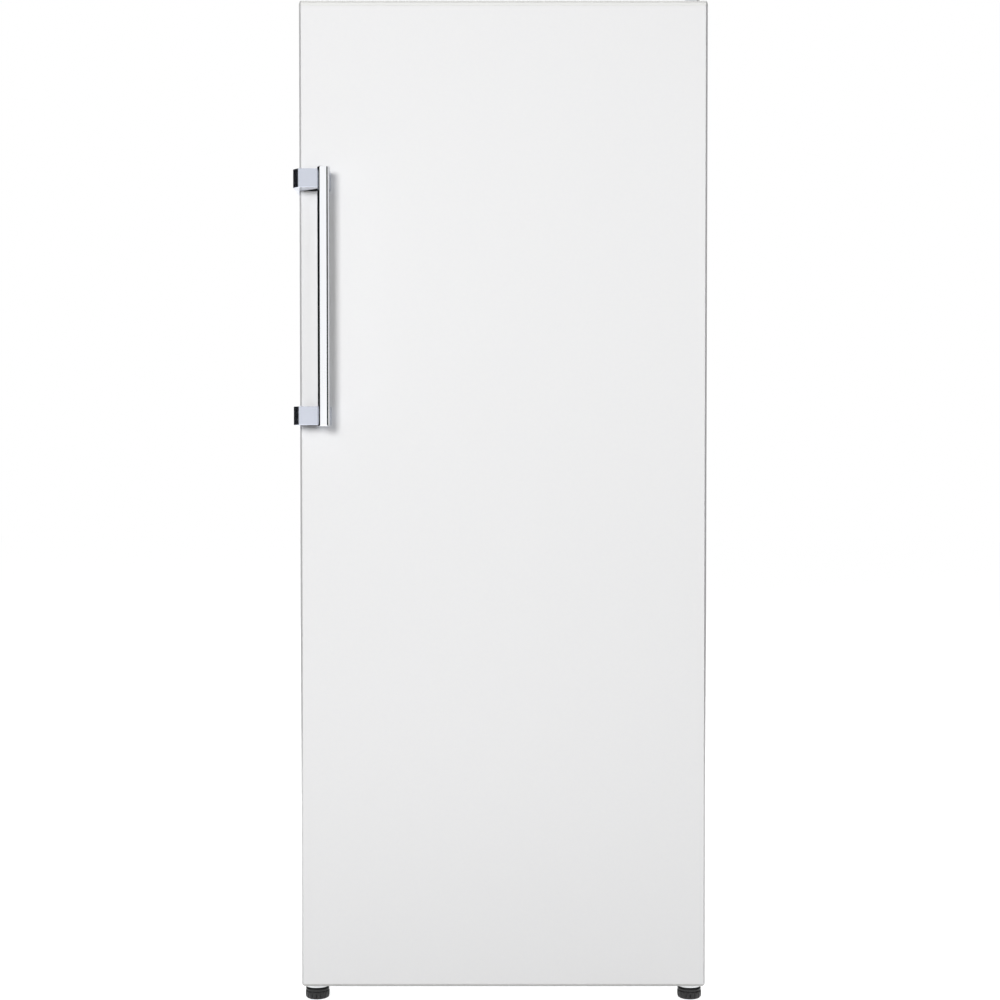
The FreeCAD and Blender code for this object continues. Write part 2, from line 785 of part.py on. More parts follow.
def door_form(name, inset):
    """The door's filling with its dyke and racks, shrunk by a skin's thickness."""
    half = cell("dyke_half_width") - inset
    tip = door_back + cell("dyke_depth") - inset
    slab_low = cell("door_base") + cell("cap_height")
    slab_high = cell("door_top") - cell("cap_height")
    side = half_width - skin
    panel_back = door_back - skin - inset
    left, right = front_corners(-1, skin), front_corners(1, skin)
    outline = (left[0], right[0], right[1], (side, panel_back), (-side, panel_back), left[1])
    panel = slab(name + "_panel", "z", outline, slab_low, slab_high)
    low = cell("dyke_base") + inset - 30
    high = cell("dyke_top") - inset + 16
    dyke_body = slab(
        name + "_dyke", "x",
        ((panel_back - 6, low), (panel_back, low), (tip - 8, low + 8), (tip, low + 16),
         (tip, high - 16), (tip - 8, high - 8), (panel_back, high), (panel_back - 6, high)),
        -half, half)

    def side_rim(edge):
        centre = edge.CenterOfMass
        return runs_along(edge, "z") and abs(centre.y - float(tip)) < 0.01

    soften(dyke_body, name + "_dyke_rim", 6, side_rim, "Chamfer")
    pockets = []
    pocket_half = cell("dyke_half_width") - cell("dyke_wall") + inset
    hollow = (
        (-pocket_half, tip + 5), (-pocket_half, panel_back), (-pocket_half + 14, panel_back - 12),
        (pocket_half - 14, panel_back - 12), (pocket_half, panel_back), (pocket_half, tip + 5),
    )
    for index in range(count("rack_count")):
        low = cell("dyke_base") + cell("rack_pitch") * index - inset
        high = cell("dyke_base") + cell("rack_pitch") * (index + 1) - cell("rack_floor") + inset
        pockets.append(slab("%s_pocket_%d" % (name, index + 1), "z", hollow, low, high))
    return cut(name, join(name + "_mass", [panel, dyke_body]), pockets)


def door_hollows(name):
    """Rooms in the foam for the two hinge bushes."""
    low = prism(name + "_low", (hinge_x, hinge_y, cell("door_base") - 1), bush_radius, 21)
    high = prism(name + "_high", (hinge_x, hinge_y, cell("door_top") - 20), bush_radius, 24)
    return [low, high]


cap_low = cell("door_base")
cap_high = cell("door_top")
node(door_skin())
node(cut("door_bottom_cap", end_cap("bottom_cap", cap_low, cap_low + cell("cap_height"), 1),
         [door_hollows("bottom_cap_hole")[0]]))
node(cut("door_top_cap", end_cap("top_cap", cap_high - cell("cap_height"), cap_high, -1),
         [door_hollows("top_cap_hole")[1]]))
node(cut("door_foam", door_form("foam_form", liner), door_hollows("foam_room")))
node(hinge_bush("lower_hinge_bush", cap_low, False))
node(hinge_bush("upper_hinge_bush", cap_high - 20, True))


def door_liner():
    """The moulded inner face of the door: a skin over the foam, its dyke and its racks."""
    return cut("door_liner", cut("liner_mass", door_form("liner_form", sized(0)), door_hollows("liner_room")),
               [door_form("liner_core", liner)])


node(door_liner())


def gasket():
    """The magnetic seal: a frame of soft extrusion between the door and the cabinet's flange."""
    left = -(half_width - cell("gasket_edge"))
    right = hinge_x - 3
    low = cell("door_base") + cell("cap_height") + 4
    high = cell("door_top") - cell("cap_height") - 4
    width = cell("gasket_width")
    back = front - 0.3

    def frame(inset):
        return ((left + inset, low + inset), (right - inset, low + inset),
                (right - inset, high - inset), (left + inset, high - inset))

    outside = slab("gasket_outside", "y", frame(0), door_back, back)
    hole = slab("gasket_hole", "y", frame(width), door_back - skin, front + 1)
    return cut("door_gasket", outside, [hole])


node(gasket())


def rack_rail(index):
    """A clip-in rail that keeps bottles on one rack of the door."""
    half = cell("dyke_half_width") - cell("dyke_wall") - 0.2
    tip = door_back + cell("dyke_depth") - 8
    low = cell("dyke_base") + cell("rack_pitch") * index + cell("rail_lift")
    body = new_body("rack_rail_%d" % (index + 1))
    depth = cell("rail_sheet")
    corners = ((-half, tip - 9), (-half, tip), (half, tip), (half, tip - 9), (half - depth, tip - 9),
               (half - depth, tip - depth), (-half + depth, tip - depth), (-half + depth, tip - 9))
    pad(body, "rail_%d_band" % (index + 1), "z", corners, low, low + cell("rail_height"))

    def upright(edge):
        return runs_along(edge, "z") and abs(edge.CenterOfMass.y - float(tip)) < 0.01

    soften(body, "rail_%d_ends" % (index + 1), 2.5, upright)
    return body


for index in range(count("rack_count")):
    node(rack_rail(index))


# ---- Handle ----------------------------------------------------------------------------

def handle_block(name, low):
    """A solid end block: seated on the door's face, hollowed for the bar and lapping the door's side."""
    outside = cell("block_outside")
    crest = door_front - cell("bar_standoff") + 2
    bar_x = cell("bar_centre")
    on_face, on_side = front_corners(-1, sized(0))
    corners = (
        on_face, on_side, (-half_width, door_front + cell("block_wrap")),
        (-outside, door_front + cell("block_wrap")), (-outside, crest + cell("block_chamfer_y")),
        (-outside + cell("block_chamfer_x"), crest), (bar_x + 7, crest), (bar_x + 7, door_front),
    )
    body = slab(name + "_solid", "z", corners, low, low + cell("block_height"))

    def crest_edge(edge):
        return runs_along(edge, "z") and edge.CenterOfMass.y < float(door_front) - 25 and \
            edge.CenterOfMass.x < float(bar_x) - 10

    soften(body, name + "_crest", 2.5, crest_edge)
    seat = rod(name + "_seat", (bar_x, door_front - cell("bar_standoff"), low - 1), cell("bar_radius"),
               cell("block_height") + 2)
    return cut(name, body, [seat])


def handle_bar():
    low = cell("bar_base")
    high = cell("bar_top")
    radius = cell("bar_radius")
    corners = (
        (0, low), (radius - 1, low), (radius, low + 1), (radius, high - 1), (radius - 1, high), (0, high),
    )
    return turned("handle_bar", corners, cell("bar_centre"), door_front - cell("bar_standoff"))


node(handle_bar())
node(handle_block("handle_block_upper", cell("bar_top") - cell("block_inset") - cell("block_height")))
node(handle_block("handle_block_lower", cell("bar_base") + cell("block_inset")))


# ---- Evaporator shelves ----------------------------------------------------------------

flats = cell("tube_flats")
left_end = cell("shelf_left")
right_end = cell("shelf_right")
return_x = cell("return_run")
rear_run = cell("shelf_rear_run")
link_bend = cell("link_bend")
tube_start = cell("tube_start")
WIRES_PER_LOWER_WIRE = 4


def serpentine(start, pitch, runs, near, far):
    """(along, across) corners of a tube that runs to and fro, its bends half a pitch in radius."""
    reach = abs(pitch) / 2
    corners = []
    for index in range(runs):
        across = start + pitch * index
        side = 1 if far > near else -1
        first, last = (near - side * reach, far + side * reach)
        if index % 2:
            first, last = last, first
        corners.append((first, across))
        corners.append((last, across))
    corners[0] = (near, start)
    return corners


def shelf_tube(level):
    """Six runs and a return along the left side, where the tube leaves for the next shelf."""
    pitch = float(cell("shelf_run_pitch"))
    x = float(return_x)
    corners = serpentine(float(rear_run), -pitch, count("shelf_runs"), float(left_end), float(right_end))
    corners[0] = (float(tube_start), float(rear_run))
    corners[-1] = (x, corners[-1][1])
    corners.append((x, float(rear_run) - float(link_bend)))
    path = [(u, v, level) for u, v in corners]
    return tube(path, pitch / 2, flats)


def shelf_wires(level):
    """Wires welded across the tube above and below, and two along its front and rear."""
    wire = float(cell("shelf_wire"))
    half_tube = float(flats) / 2
    start = float(cell("shelf_wire_start"))
    near = float(cell("shelf_front"))
    far = float(rear_run) + 20
    pitch = float(cell("shelf_wire_pitch"))
    above = level + half_tube
    below = level - half_tube
    wires = []
    for index in range(count("shelf_wires")):
        x = start + pitch * index
        wires.append(straight_wire((x, near, above), (x + wire, far, above + wire)))
    for index in range(1, count("shelf_wires"), WIRES_PER_LOWER_WIRE):
        x = start + pitch * (index + 0.5)
        wires.append(straight_wire((x, near, below - wire), (x + wire, far, below)))
    end = start + pitch * (count("shelf_wires") - 1) + wire
    for y in (near, far - wire):
        wires.append(straight_wire((start, y, above - wire), (end, y + wire, above)))
    return wires


def shelf_level(index):
    return cell("shelf_base") + cell("shelf_pitch") * index


shelf_levels = [float(shelf_level(index)) for index in range(count("shelf_count"))]
for index, level in enumerate(shelf_levels):
    shape = Part.makeCompound([shelf_tube(level)] + shelf_wires(level))
    node(solid_feature("evaporator_shelf_%d" % (index + 1), shape))


def link_tubes():
    """Tubes up the rear left corner that join each shelf to the next, and the two wall feeds."""
    bend = float(link_bend)
    x = float(return_x)
    y = float(rear_run)
    tubes = []
    for low, high in zip(shelf_levels, shelf_levels[1:]):
        points = ((x, y - bend, low), (x, y, low), (x, y, high), (float(tube_start), y, high))
        tubes.append(tube(points, bend - 1.2, flats))
    wall_y = float(cavity_rear) - 2.5
    crest = shelf_levels[-1]
    tubes.append(tube(((x, y - bend, crest), (x, wall_y, crest)), bend, flats))
    floor = shelf_levels[0]
    inlet_x = float(tube_start)
    outlet = (inlet_x - 14, float(cavity_rear) - 1, floor)
    tubes.append(tube(((inlet_x, y, floor), (inlet_x - 14, y, floor), outlet), 12, flats))
    return Part.makeCompound(tubes)


node(solid_feature("evaporator_link_tubes", link_tubes()))


def shelf_clips():
    """Moulded ledges on the side walls that carry the tube's bends."""
    clips = []
    drop = flats / 2
    for index in range(count("shelf_count")):
        level = shelf_level(index)
        for run in (0.5, 4.5):
            y = rear_run - cell("shelf_run_pitch") * run
            name = "clip_%d_%d" % (index + 1, int(run))
            clips.append(block(name + "_right", (cavity_half - 22, y - 10, level - drop - 10),
                               (cavity_half, y + 10, level - drop)))
            clips.append(block(name + "_left", (-cavity_half, y - 10, level - drop - 10),
                               (-cavity_half + 18, y + 10, level - drop)))
    return together("shelf_clips", clips)


node(shelf_clips())


# ---- Bottom basket ---------------------------------------------------------------------

def basket_wires():
    """Three flat rings tied by bent wires, with a closed mesh of wires for a floor."""
    half = float(cell("basket_half"))
    near = float(cell("basket_front"))
    far = float(cell("basket_rear"))
    floor = float(cavity_floor) + 0.4
    height = float(cell("basket_height"))
    rim = float(cell("basket_rim"))
    wire = float(cell("basket_wire"))
    gap = float(cell("basket_gap"))
    pieces = []
    for level in (floor + wire, floor + height / 2, floor + height - rim):
        pieces.append(straight_wire((-half, near, level), (half, near + rim, level + rim)))
        pieces.append(straight_wire((-half, far - rim, level), (half, far, level + rim)))
        pieces.append(straight_wire((-half, near + rim, level), (-half + rim, far - rim, level + rim)))
        pieces.append(straight_wire((half - rim, near + rim, level), (half, far - rim, level + rim)))
    inside = rim
    across = int((2 * half - 2 * rim) // gap)
    for index in range(across):
        x = -half + rim + gap * (index + 0.5) - wire / 2
        for y in (near + inside, far - inside - wire):
            pieces.append(straight_wire((x, y, floor + wire), (x + wire, y + wire, floor + height)))
        pieces.append(straight_wire((x, near, floor), (x + wire, far, floor + wire)))
    deep = int((far - near - 2 * rim) // gap)
    for index in range(deep):
        y = near + rim + gap * (index + 0.5) - wire / 2
        for x in (-half + inside, half - inside - wire):
            pieces.append(straight_wire((x, y, floor + wire), (x + wire, y + wire, floor + height)))
        reach = half - rim - wire
        pieces.append(straight_wire((-reach, y, floor + wire), (reach, y + wire, floor + 2 * wire)))
    return Part.makeCompound(pieces)


node(solid_feature("bottom_basket", basket_wires()))


# ---- Refrigeration parts in the bay and on the back --------------------------------------

tray_top = cell("tray_top")
GLAND_X = -150
GLAND_SIDES = 12
gland_z = base + 16


def compressor_tray():
    """The folded cross member that closes the bay's floor and carries the compressor."""
    fore = bay_front + 30
    aft = rear - 5
    lip = base + 5
    corners = (
        (fore, lip), (fore, tray_top), (aft, tray_top), (aft, lip),
        (aft - 2, lip), (aft - 2, tray_top - 2), (fore + 2, tray_top - 2), (fore + 2, lip),
    )
    tray = slab("tray_sheet", "x", corners, -(half_width - skin), half_width - skin)
    gland_hole = prism("gland_hole", (GLAND_X, aft - 4, gland_z), 6, 6, "y", GLAND_SIDES)
    return cut("compressor_tray", tray, [gland_hole])


node(compressor_tray())
motor_x = cell("compressor_x")
motor_y = cell("compressor_y")
mount_spots = [(dx, dy) for dx in (-78, 78) for dy in (-45, 45)]
feet_low = tray_top + cell("grommet_height")
shell_low = feet_low + cell("feet_sheet")
BOLT_HOLE = 4.2
BOLT_SIDES = 8


def compressor_shell():
    """Two deep-drawn steel cups welded at a flange."""
    radius = cell("compressor_radius")
    weld = shell_low + cell("compressor_height") * 0.45
    crown = shell_low + cell("compressor_height")
    corners = (
        (radius - 26, shell_low), (radius - 9, shell_low + 6), (radius, shell_low + 24), (radius, weld),
        (radius + 4, weld + 0.5), (radius + 4, weld + 4), (radius, weld + 4.5), (radius, crown - 38),
        (radius - 9, crown - 16), (radius - 27, crown - 4), (radius - 44, crown),
    )
    return stacked("compressor_shell", corners, motor_x, motor_y, 20)


def compressor_feet():
    half_x = 90
    half_y = 56
    snip = 12
    corners = (
        (motor_x - half_x + snip, motor_y - half_y), (motor_x + half_x - snip, motor_y - half_y),
        (motor_x + half_x, motor_y - half_y + snip), (motor_x + half_x, motor_y + half_y - snip),
        (motor_x + half_x - snip, motor_y + half_y), (motor_x - half_x + snip, motor_y + half_y),
        (motor_x - half_x, motor_y + half_y - snip), (motor_x - half_x, motor_y - half_y + snip),
    )
    body = slab("feet_plate", "z", corners, feet_low, shell_low)
    holes = [prism("feet_hole_%d" % index, (motor_x + dx, motor_y + dy, feet_low - 1), BOLT_HOLE, 5,
                   sides=BOLT_SIDES) for index, (dx, dy) in enumerate(mount_spots)]
    return cut("compressor_feet", body, holes)


def compressor_grommets():
    items = []
    corners = ((12, tray_top), (10, tray_top + 3), (10, feet_low - 3), (12, feet_low))
    for index, (dx, dy) in enumerate(mount_spots):
        name = "grommet_%d" % index
        x, y = motor_x + dx, motor_y + dy
        ring = stacked(name + "_solid", corners, x, y, BOLT_SIDES)
        hole = prism(name + "_hole", (x, y, tray_top - 1), BOLT_HOLE, 14, sides=BOLT_SIDES)
        items.append(cut(name, ring, [hole]))
    return together("compressor_grommets", items)


def compressor_bolts():
    items = []
    for index, (dx, dy) in enumerate(mount_spots):
        x, y = motor_x + dx, motor_y + dy
        shank = prism("bolt_shank_%d" % index, (x, y, tray_top), 4, shell_low - tray_top, sides=BOLT_SIDES)
        head = hexagon("bolt_head_%d" % index, (x, y, shell_low), 16, 5)
        items.append(join("bolt_%d" % index, [shank, head]))
    return together("compressor_bolts", items)


shell = node(compressor_shell())
node(compressor_feet())
node(compressor_grommets())
node(compressor_bolts())


def terminal_cover():
    """The moulded box over the start device, clipped to the shell's side."""
    left, right = motor_x - 98, motor_x - 60
    near, far = motor_y - 26, motor_y + 26
    body = slab("terminal_box", "z", ((left, near), (right, near), (right, far), (left, far)),
                shell_low + 45, shell_low + 105)

    def outer_corner(edge):
        return runs_along(edge, "z") and edge.CenterOfMass.x < float(left) + 1

    soften(body, "terminal_box_corners", 5, outer_corner, "Chamfer")
    return cut("terminal_cover", body, [shell])


node(terminal_cover())

condenser_y = rear + cell("condenser_offset")
riser_x = float(cell("riser_x"))
riser_low = float(bay_top + cell("riser_end"))
dryer_x = float(cell("dryer_x"))
dryer_y = float(rear - cell("dryer_setback"))
DRYER_TOP = 190
OUTLET_TOP = 290


def condenser():
    """A tube to and fro up the back with upright wires welded to both of its faces."""
    y = float(condenser_y)
    low = float(cell("condenser_base"))
    half = float(cell("condenser_half"))
    pitch = float(cell("condenser_pitch"))
    runs = count("condenser_runs")
    width = float(cell("condenser_flats"))
    wire = float(cell("condenser_wire"))
    crest = low + pitch * (runs - 1)
    path = [(u, y, v) for u, v in serpentine(low, pitch, runs, -half, half)]
    path[0] = (dryer_x, y, low)
    path[-1] = (riser_x, y, crest)
    path = [(dryer_x, y, OUTLET_TOP)] + path + [(riser_x, y, riser_low)]
    spread = float(cell("condenser_wire_pitch"))
    wires = count("condenser_wires")
    bottom = low - 22
    crown = crest + 22
    outer = y + width / 2
    inner = y - width / 2
    pieces = [tube(path, pitch / 2, width)]
    for index in range(wires):
        x = spread * (index - (wires - 1) / 2) - wire / 2
        pieces.append(straight_wire((x, outer, bottom), (x + wire, outer + wire, crown)))
        if index < wires - 1:
            x += spread / 2
            pieces.append(straight_wire((x, inner - wire, bottom), (x + wire, inner, crown)))
    return Part.makeCompound(pieces)


condenser_item = node(solid_feature("condenser", condenser()))


def condenser_outlet_tube():
    """The bent end of the condenser's tube, from its last run down to the dryer."""
    y = float(condenser_y)
    points = ((dryer_x, dryer_y, DRYER_TOP), (dryer_x, dryer_y, DRYER_TOP + 15), (dryer_x, y, 226),
              (dryer_x, y, OUTLET_TOP))
    return tube(points, 20, float(cell("condenser_flats")))


node(solid_feature("condenser_outlet_tube", condenser_outlet_tube()))


def condenser_brackets():
    """Moulded stand-offs that hold the outermost bends to the back panel."""
    half = cell("condenser_half")
    items = []
    for run in (1, count("condenser_runs") - 2):
        level = cell("condenser_base") + cell("condenser_pitch") * run
        for side in (-1, 1):
            x = (half - 8) * side
            name = "standoff_%d_%d" % (run, side + 1)
            arm = block(name + "_solid", (x - 5, rear, level - 12), (x + 5, condenser_y + 6, level + 12))
            items.append(cut(name, arm, [condenser_item]))
    return together("condenser_brackets", items)


node(condenser_brackets())


def filter_dryer():
    """A copper capsule with drawn-down ends, hung between the condenser and the fine tube."""
    neck, body = 3.2, 9.5
    corners = ((neck, 84), (neck, 92), (body, 102), (body, 172), (neck, 182), (neck, DRYER_TOP))
    return stacked("filter_dryer", corners, dryer_x, dryer_y, 12)


node(filter_dryer())


def shell_joint(name, points, bend, flats):
    """A tube whose first end is brazed into the compressor's shell."""
    raw = solid_feature(name + "_run", tube(points, bend, flats))
    return cut(name, raw, [shell])


motor_left = float(motor_x) - 60
motor_right = float(motor_x) + 60
joint_y = float(motor_y) + 24
aft_y = joint_y + 30
back_y = float(condenser_y)
hot_path = (
    (motor_right, joint_y, 150), (riser_x - 60, joint_y, 150), (riser_x - 60, aft_y, 182),
    (riser_x, back_y, 222), (riser_x, back_y, riser_low),
)
cold_path = (
    (motor_left + 12, joint_y, 176), (motor_left - 40, aft_y, 176), (motor_left - 40, aft_y, float(bay_top)),
)
node(shell_joint("discharge_tube", hot_path, 16, 5))
node(shell_joint("suction_tube", cold_path, 14, 7))


def drain_outlet():
    """The drain: a plug in the liner's floor."""
    corners = ((11, cavity_floor), (11, cavity_floor + 3), (8, cavity_floor + 6))
    return stacked("drain_plug", corners, 0, front + 45, 14)


node(drain_outlet())


# ---- Thermostat ------------------------------------------------------------------------

dial_y = cell("thermostat_y")
dial_z = cell("thermostat_z")
dial_r = cell("dial_radius")
HOUSING_DEPTH = 26
STUB_RADIUS = 3


def thermostat_housing():
    """A wedge-edged moulded box on the right wall, with a stub that carries the dial."""
    low = cavity_half - HOUSING_DEPTH
    half_y, half_z = 62, 34
    body = slab("housing_solid", "x",
                ((dial_y - half_y, dial_z - half_z), (dial_y + half_y, dial_z - half_z),
                 (dial_y + half_y, dial_z + half_z), (dial_y - half_y, dial_z + half_z)), low, cavity_half)
    soften(body, "housing_corners", 8, lambda edge: runs_along(edge, "x"), "Chamfer")
    stub = prism("dial_stub", (low - 9, dial_y, dial_z), STUB_RADIUS * PIN_FLAT, 12, "x", PIN_SIDES)
    return join("thermostat_housing", [body, stub])


def thermostat_dial():
    """A disc with a raised grip across its face, turning on the housing's stub."""
    seat = cavity_half - HOUSING_DEPTH - 0.3
    tip = seat - cell("dial_depth")
    grip_height = 5
    rim = cell("dial_depth") - grip_height
    disc = prism("dial_disc", (tip + grip_height, dial_y, dial_z), dial_r, rim, "x", 24)
    grip = block("dial_grip", (tip, dial_y - 3, dial_z - dial_r + 3),
                 (tip + grip_height, dial_y + 3, dial_z + dial_r - 3))
    bore = prism("dial_bore", (tip + 4, dial_y, dial_z), STUB_RADIUS + clearance, cell("dial_depth"), "x")
    return cut("thermostat_dial", join("dial_solid", [disc, grip]), [bore])


node(thermostat_housing())
node(thermostat_dial())


def cord_gland():
    """The inlet where the supply enters the bay, in the tray's rear lip."""
    neck = prism("gland_neck", (GLAND_X, rear - 9, gland_z), 6, 5, "y", GLAND_SIDES)
    flange = prism("gland_flange", (GLAND_X, rear - 5, gland_z), 8.5, 4, "y", GLAND_SIDES)
    bore = prism("gland_bore", (GLAND_X, rear - 10, gland_z), 3.6, 12, "y", GLAND_SIDES)
    return cut("cord_gland", join("gland_solid", [neck, flange]), [bore])


node(cord_gland())


document.recompute()

for item in document.Objects:
    if "Invalid" in item.State or "Error" in item.State:
        raise SystemExit("failed feature: %s %s" % (item.Name, item.State))

os.makedirs("parts", exist_ok=True)
for item in nodes:
    item.Label = item.Name
    shape = item.Shape
    if shape.isNull() or not shape.isValid() or not shape.Solids:
        raise SystemExit("broken piece: " + item.Label)
for item in nodes:
    item.Shape.exportStep("parts/%s.step" % item.Label)
print("%d pieces written" % len(nodes))
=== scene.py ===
import json
import math

import bmesh
import bpy
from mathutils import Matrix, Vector

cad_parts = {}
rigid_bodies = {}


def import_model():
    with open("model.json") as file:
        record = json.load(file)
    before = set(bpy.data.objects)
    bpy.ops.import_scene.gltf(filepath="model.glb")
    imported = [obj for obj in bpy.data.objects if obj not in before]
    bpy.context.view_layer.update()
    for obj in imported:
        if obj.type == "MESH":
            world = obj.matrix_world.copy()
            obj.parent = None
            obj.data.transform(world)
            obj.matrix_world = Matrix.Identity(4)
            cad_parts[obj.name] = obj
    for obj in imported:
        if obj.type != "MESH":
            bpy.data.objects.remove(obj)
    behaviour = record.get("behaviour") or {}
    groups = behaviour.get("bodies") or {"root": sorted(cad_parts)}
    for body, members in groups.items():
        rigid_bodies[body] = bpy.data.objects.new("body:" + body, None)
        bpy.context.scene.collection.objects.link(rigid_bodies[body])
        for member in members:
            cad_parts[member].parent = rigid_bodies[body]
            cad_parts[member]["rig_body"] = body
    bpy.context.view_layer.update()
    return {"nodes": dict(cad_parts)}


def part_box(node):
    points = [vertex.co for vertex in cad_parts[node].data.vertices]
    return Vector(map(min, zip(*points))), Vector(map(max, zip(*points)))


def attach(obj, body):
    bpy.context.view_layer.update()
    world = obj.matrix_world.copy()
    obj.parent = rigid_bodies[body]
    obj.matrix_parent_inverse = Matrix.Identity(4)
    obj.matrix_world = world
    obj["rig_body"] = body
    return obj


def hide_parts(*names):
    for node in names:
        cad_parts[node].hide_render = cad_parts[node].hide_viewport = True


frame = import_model()
nodes = frame["nodes"]


# ---- The view ----
# The photograph is taken square to the door, 2.6 m in front of its face. The lens is a
# little over half the door's height above the floor and is tipped slightly down.

PHOTO_WIDTH = 1000
SENSOR_MM = 36
FOCAL_PIXELS = 1766.2
EYE = (0, -2.899, 0.8144)
TIP_DOWN = 1.479
FREEZER_RIGHT_OF_MIDDLE = 3.4

camera_data = bpy.data.cameras.new("studio_camera")
camera_data.sensor_width = SENSOR_MM
camera_data.lens = SENSOR_MM * FOCAL_PIXELS / PHOTO_WIDTH
camera_data.shift_x = -FREEZER_RIGHT_OF_MIDDLE / PHOTO_WIDTH
camera = bpy.data.objects.new("studio_camera", camera_data)
camera.location = EYE
camera.rotation_euler = (math.radians(90 - TIP_DOWN), 0, 0)
bpy.context.scene.collection.objects.link(camera)
bpy.context.scene.camera = camera
bpy.context.scene.view_settings.view_transform = "Standard"


# ---- The studio ----
# A white paper sweep in a pale room. A soft key lamp stands left of the lens, with a weaker
# box at each side, two behind for the back and sides, and one high up behind for the top.
# Two dark cards, seen only in polished metal, give the chrome its dark edges.

def tone(code):
    """An sRGB hex colour as linear light."""
    shares = [int(code[start:start + 2], 16) / 255 for start in (1, 3, 5)]
    linear = [s / 12.92 if s <= 0.04045 else ((s + 0.055) / 1.055) ** 2.4 for s in shares]
    return (*linear, 1.0)


def add_node(owner, kind, feeds=None, settings=None):
    """Adds one node with its settings, and sets or links the sockets that feed it."""
    made = owner.node_tree.nodes.new("ShaderNode" + kind)
    for name, value in (settings or {}).items():
        setattr(made, name, value)
    for socket, value in (feeds or {}).items():
        if isinstance(value, bpy.types.NodeSocket):
            owner.node_tree.links.new(value, made.inputs[socket])
        else:
            made.inputs[socket].default_value = value
    return made


def new_finish(name):
    finish = bpy.data.materials.new(name)
    finish.use_nodes = True
    finish.node_tree.nodes.clear()
    return finish


def seen_or_mirrored(owner):
    """1 for rays from the lens, from gloss and through clear things, else 0."""
    rays = add_node(owner, "LightPath").outputs
    share = rays["Is Camera Ray"]
    for other in ("Is Glossy Ray", "Is Transmission Ray"):
        larger = add_node(owner, "Math", {0: share, 1: rays[other]}, {"operation": "MAXIMUM"})
        share = larger.outputs[0]
    return share


AMBIENT = 0.25
world = bpy.data.worlds.new("studio")
world.use_nodes = True
world.node_tree.nodes.clear()
fill = add_node(world, "Background", {"Color": tone("#FFFFFF"), "Strength": AMBIENT})
backdrop = add_node(world, "Background", {"Color": tone("#FFFFFF"), "Strength": 1.0})
sky = add_node(world, "MixShader",
               {0: seen_or_mirrored(world), 1: fill.outputs[0], 2: backdrop.outputs[0]})
add_node(world, "OutputWorld", {"Surface": sky.outputs[0]})
bpy.context.scene.world = world

FLOOR_GLOW = 0.78
floor_finish = new_finish("white_paper_sweep")
matt = add_node(floor_finish, "BsdfDiffuse", {"Color": tone("#8E8E8E")})
glow = add_node(floor_finish, "Emission", {"Color": tone("#FFFFFF"), "Strength": FLOOR_GLOW})
pale = add_node(floor_finish, "BsdfDiffuse", {"Color": tone("#F0F0F0")})
lit = add_node(floor_finish, "AddShader", {0: pale.outputs[0], 1: glow.outputs[0]})
paper = add_node(floor_finish, "MixShader",
                 {0: seen_or_mirrored(floor_finish), 1: matt.outputs[0], 2: lit.outputs[0]})
add_node(floor_finish, "OutputMaterial", {"Surface": paper.outputs[0]})


def stage_sheet(name, corners, finish):
    mesh = bpy.data.meshes.new(name)
    mesh.from_pydata(corners, [], [(0, 1, 2, 3)])
    mesh.materials.append(finish)
    sheet = bpy.data.objects.new(name, mesh)
    bpy.context.scene.collection.objects.link(sheet)
    return sheet


FLOOR_REACH = 14
QUARTERS = ((-1, -1), (1, -1), (1, 1), (-1, 1))
stage_sheet("studio_floor", [(x * FLOOR_REACH, y * FLOOR_REACH, 0) for x, y in QUARTERS],
            floor_finish)

# Each card's distance to the side, and where it starts and ends along the room.
CARDS = {"left": (-1.55, -0.80, 2.6), "right": (1.75, -1.30, 2.6)}
CARD_FOOT, CARD_HEAD = 0.02, 3.2
card_finish = new_finish("black_card")
dark = add_node(card_finish, "Emission", {"Color": tone("#1C1D1F"), "Strength": 1.0})
add_node(card_finish, "OutputMaterial", {"Surface": dark.outputs[0]})
for side, (x, near, far) in CARDS.items():
    corners = [(x, near, CARD_FOOT), (x, far, CARD_FOOT), (x, far, CARD_HEAD), (x, near, CARD_HEAD)]
    card = stage_sheet("card_" + side, corners, card_finish)
    for ray in ("camera", "diffuse", "shadow", "transmission"):
        setattr(card, "visible_" + ray, False)

LAMPS = (
    # name, place, what it is aimed at, width in metres, power in watts
    ("key_lamp", (-0.80, -3.6, 1.45), (0, -0.3, 0.75), 0.8, 75),
    ("soft_box_left", (-1.9, -3.3, 2.0), (0, -0.3, 0.7), 2.0, 5),
    ("soft_box_right", (1.9, -3.3, 1.5), (0, -0.3, 0.75), 2.0, 26),
    ("rear_box_right", (2.5, 3.2, 2.4), (0, 0.3, 0.8), 2.2, 68),
    ("rear_box_left", (-2.5, 3.2, 2.4), (0, 0.3, 0.8), 2.2, 68),
    ("top_box", (0.2, 2.4, 3.9), (0, 0.2, 1.4), 2.4, 40),
)
for name, place, aim, width, power in LAMPS:
    lamp_data = bpy.data.lights.new(name, "AREA")
    lamp_data.shape = "SQUARE"
    lamp_data.size = width
    lamp_data.energy = power
    lamp = bpy.data.objects.new(name, lamp_data)
    lamp.location = place
    lamp.rotation_euler = (Vector(aim) - Vector(place)).to_track_quat("-Z", "Y").to_euler()
    lamp.visible_camera = False
    lamp.visible_glossy = False
    bpy.context.scene.collection.objects.link(lamp)


# ---- Cabinet wrap ----
# One sheet of pre-painted steel folded over both sides and the top, with its front edges
# turned inward. It is bonded to the foam and is the part of the cabinet that is seen.

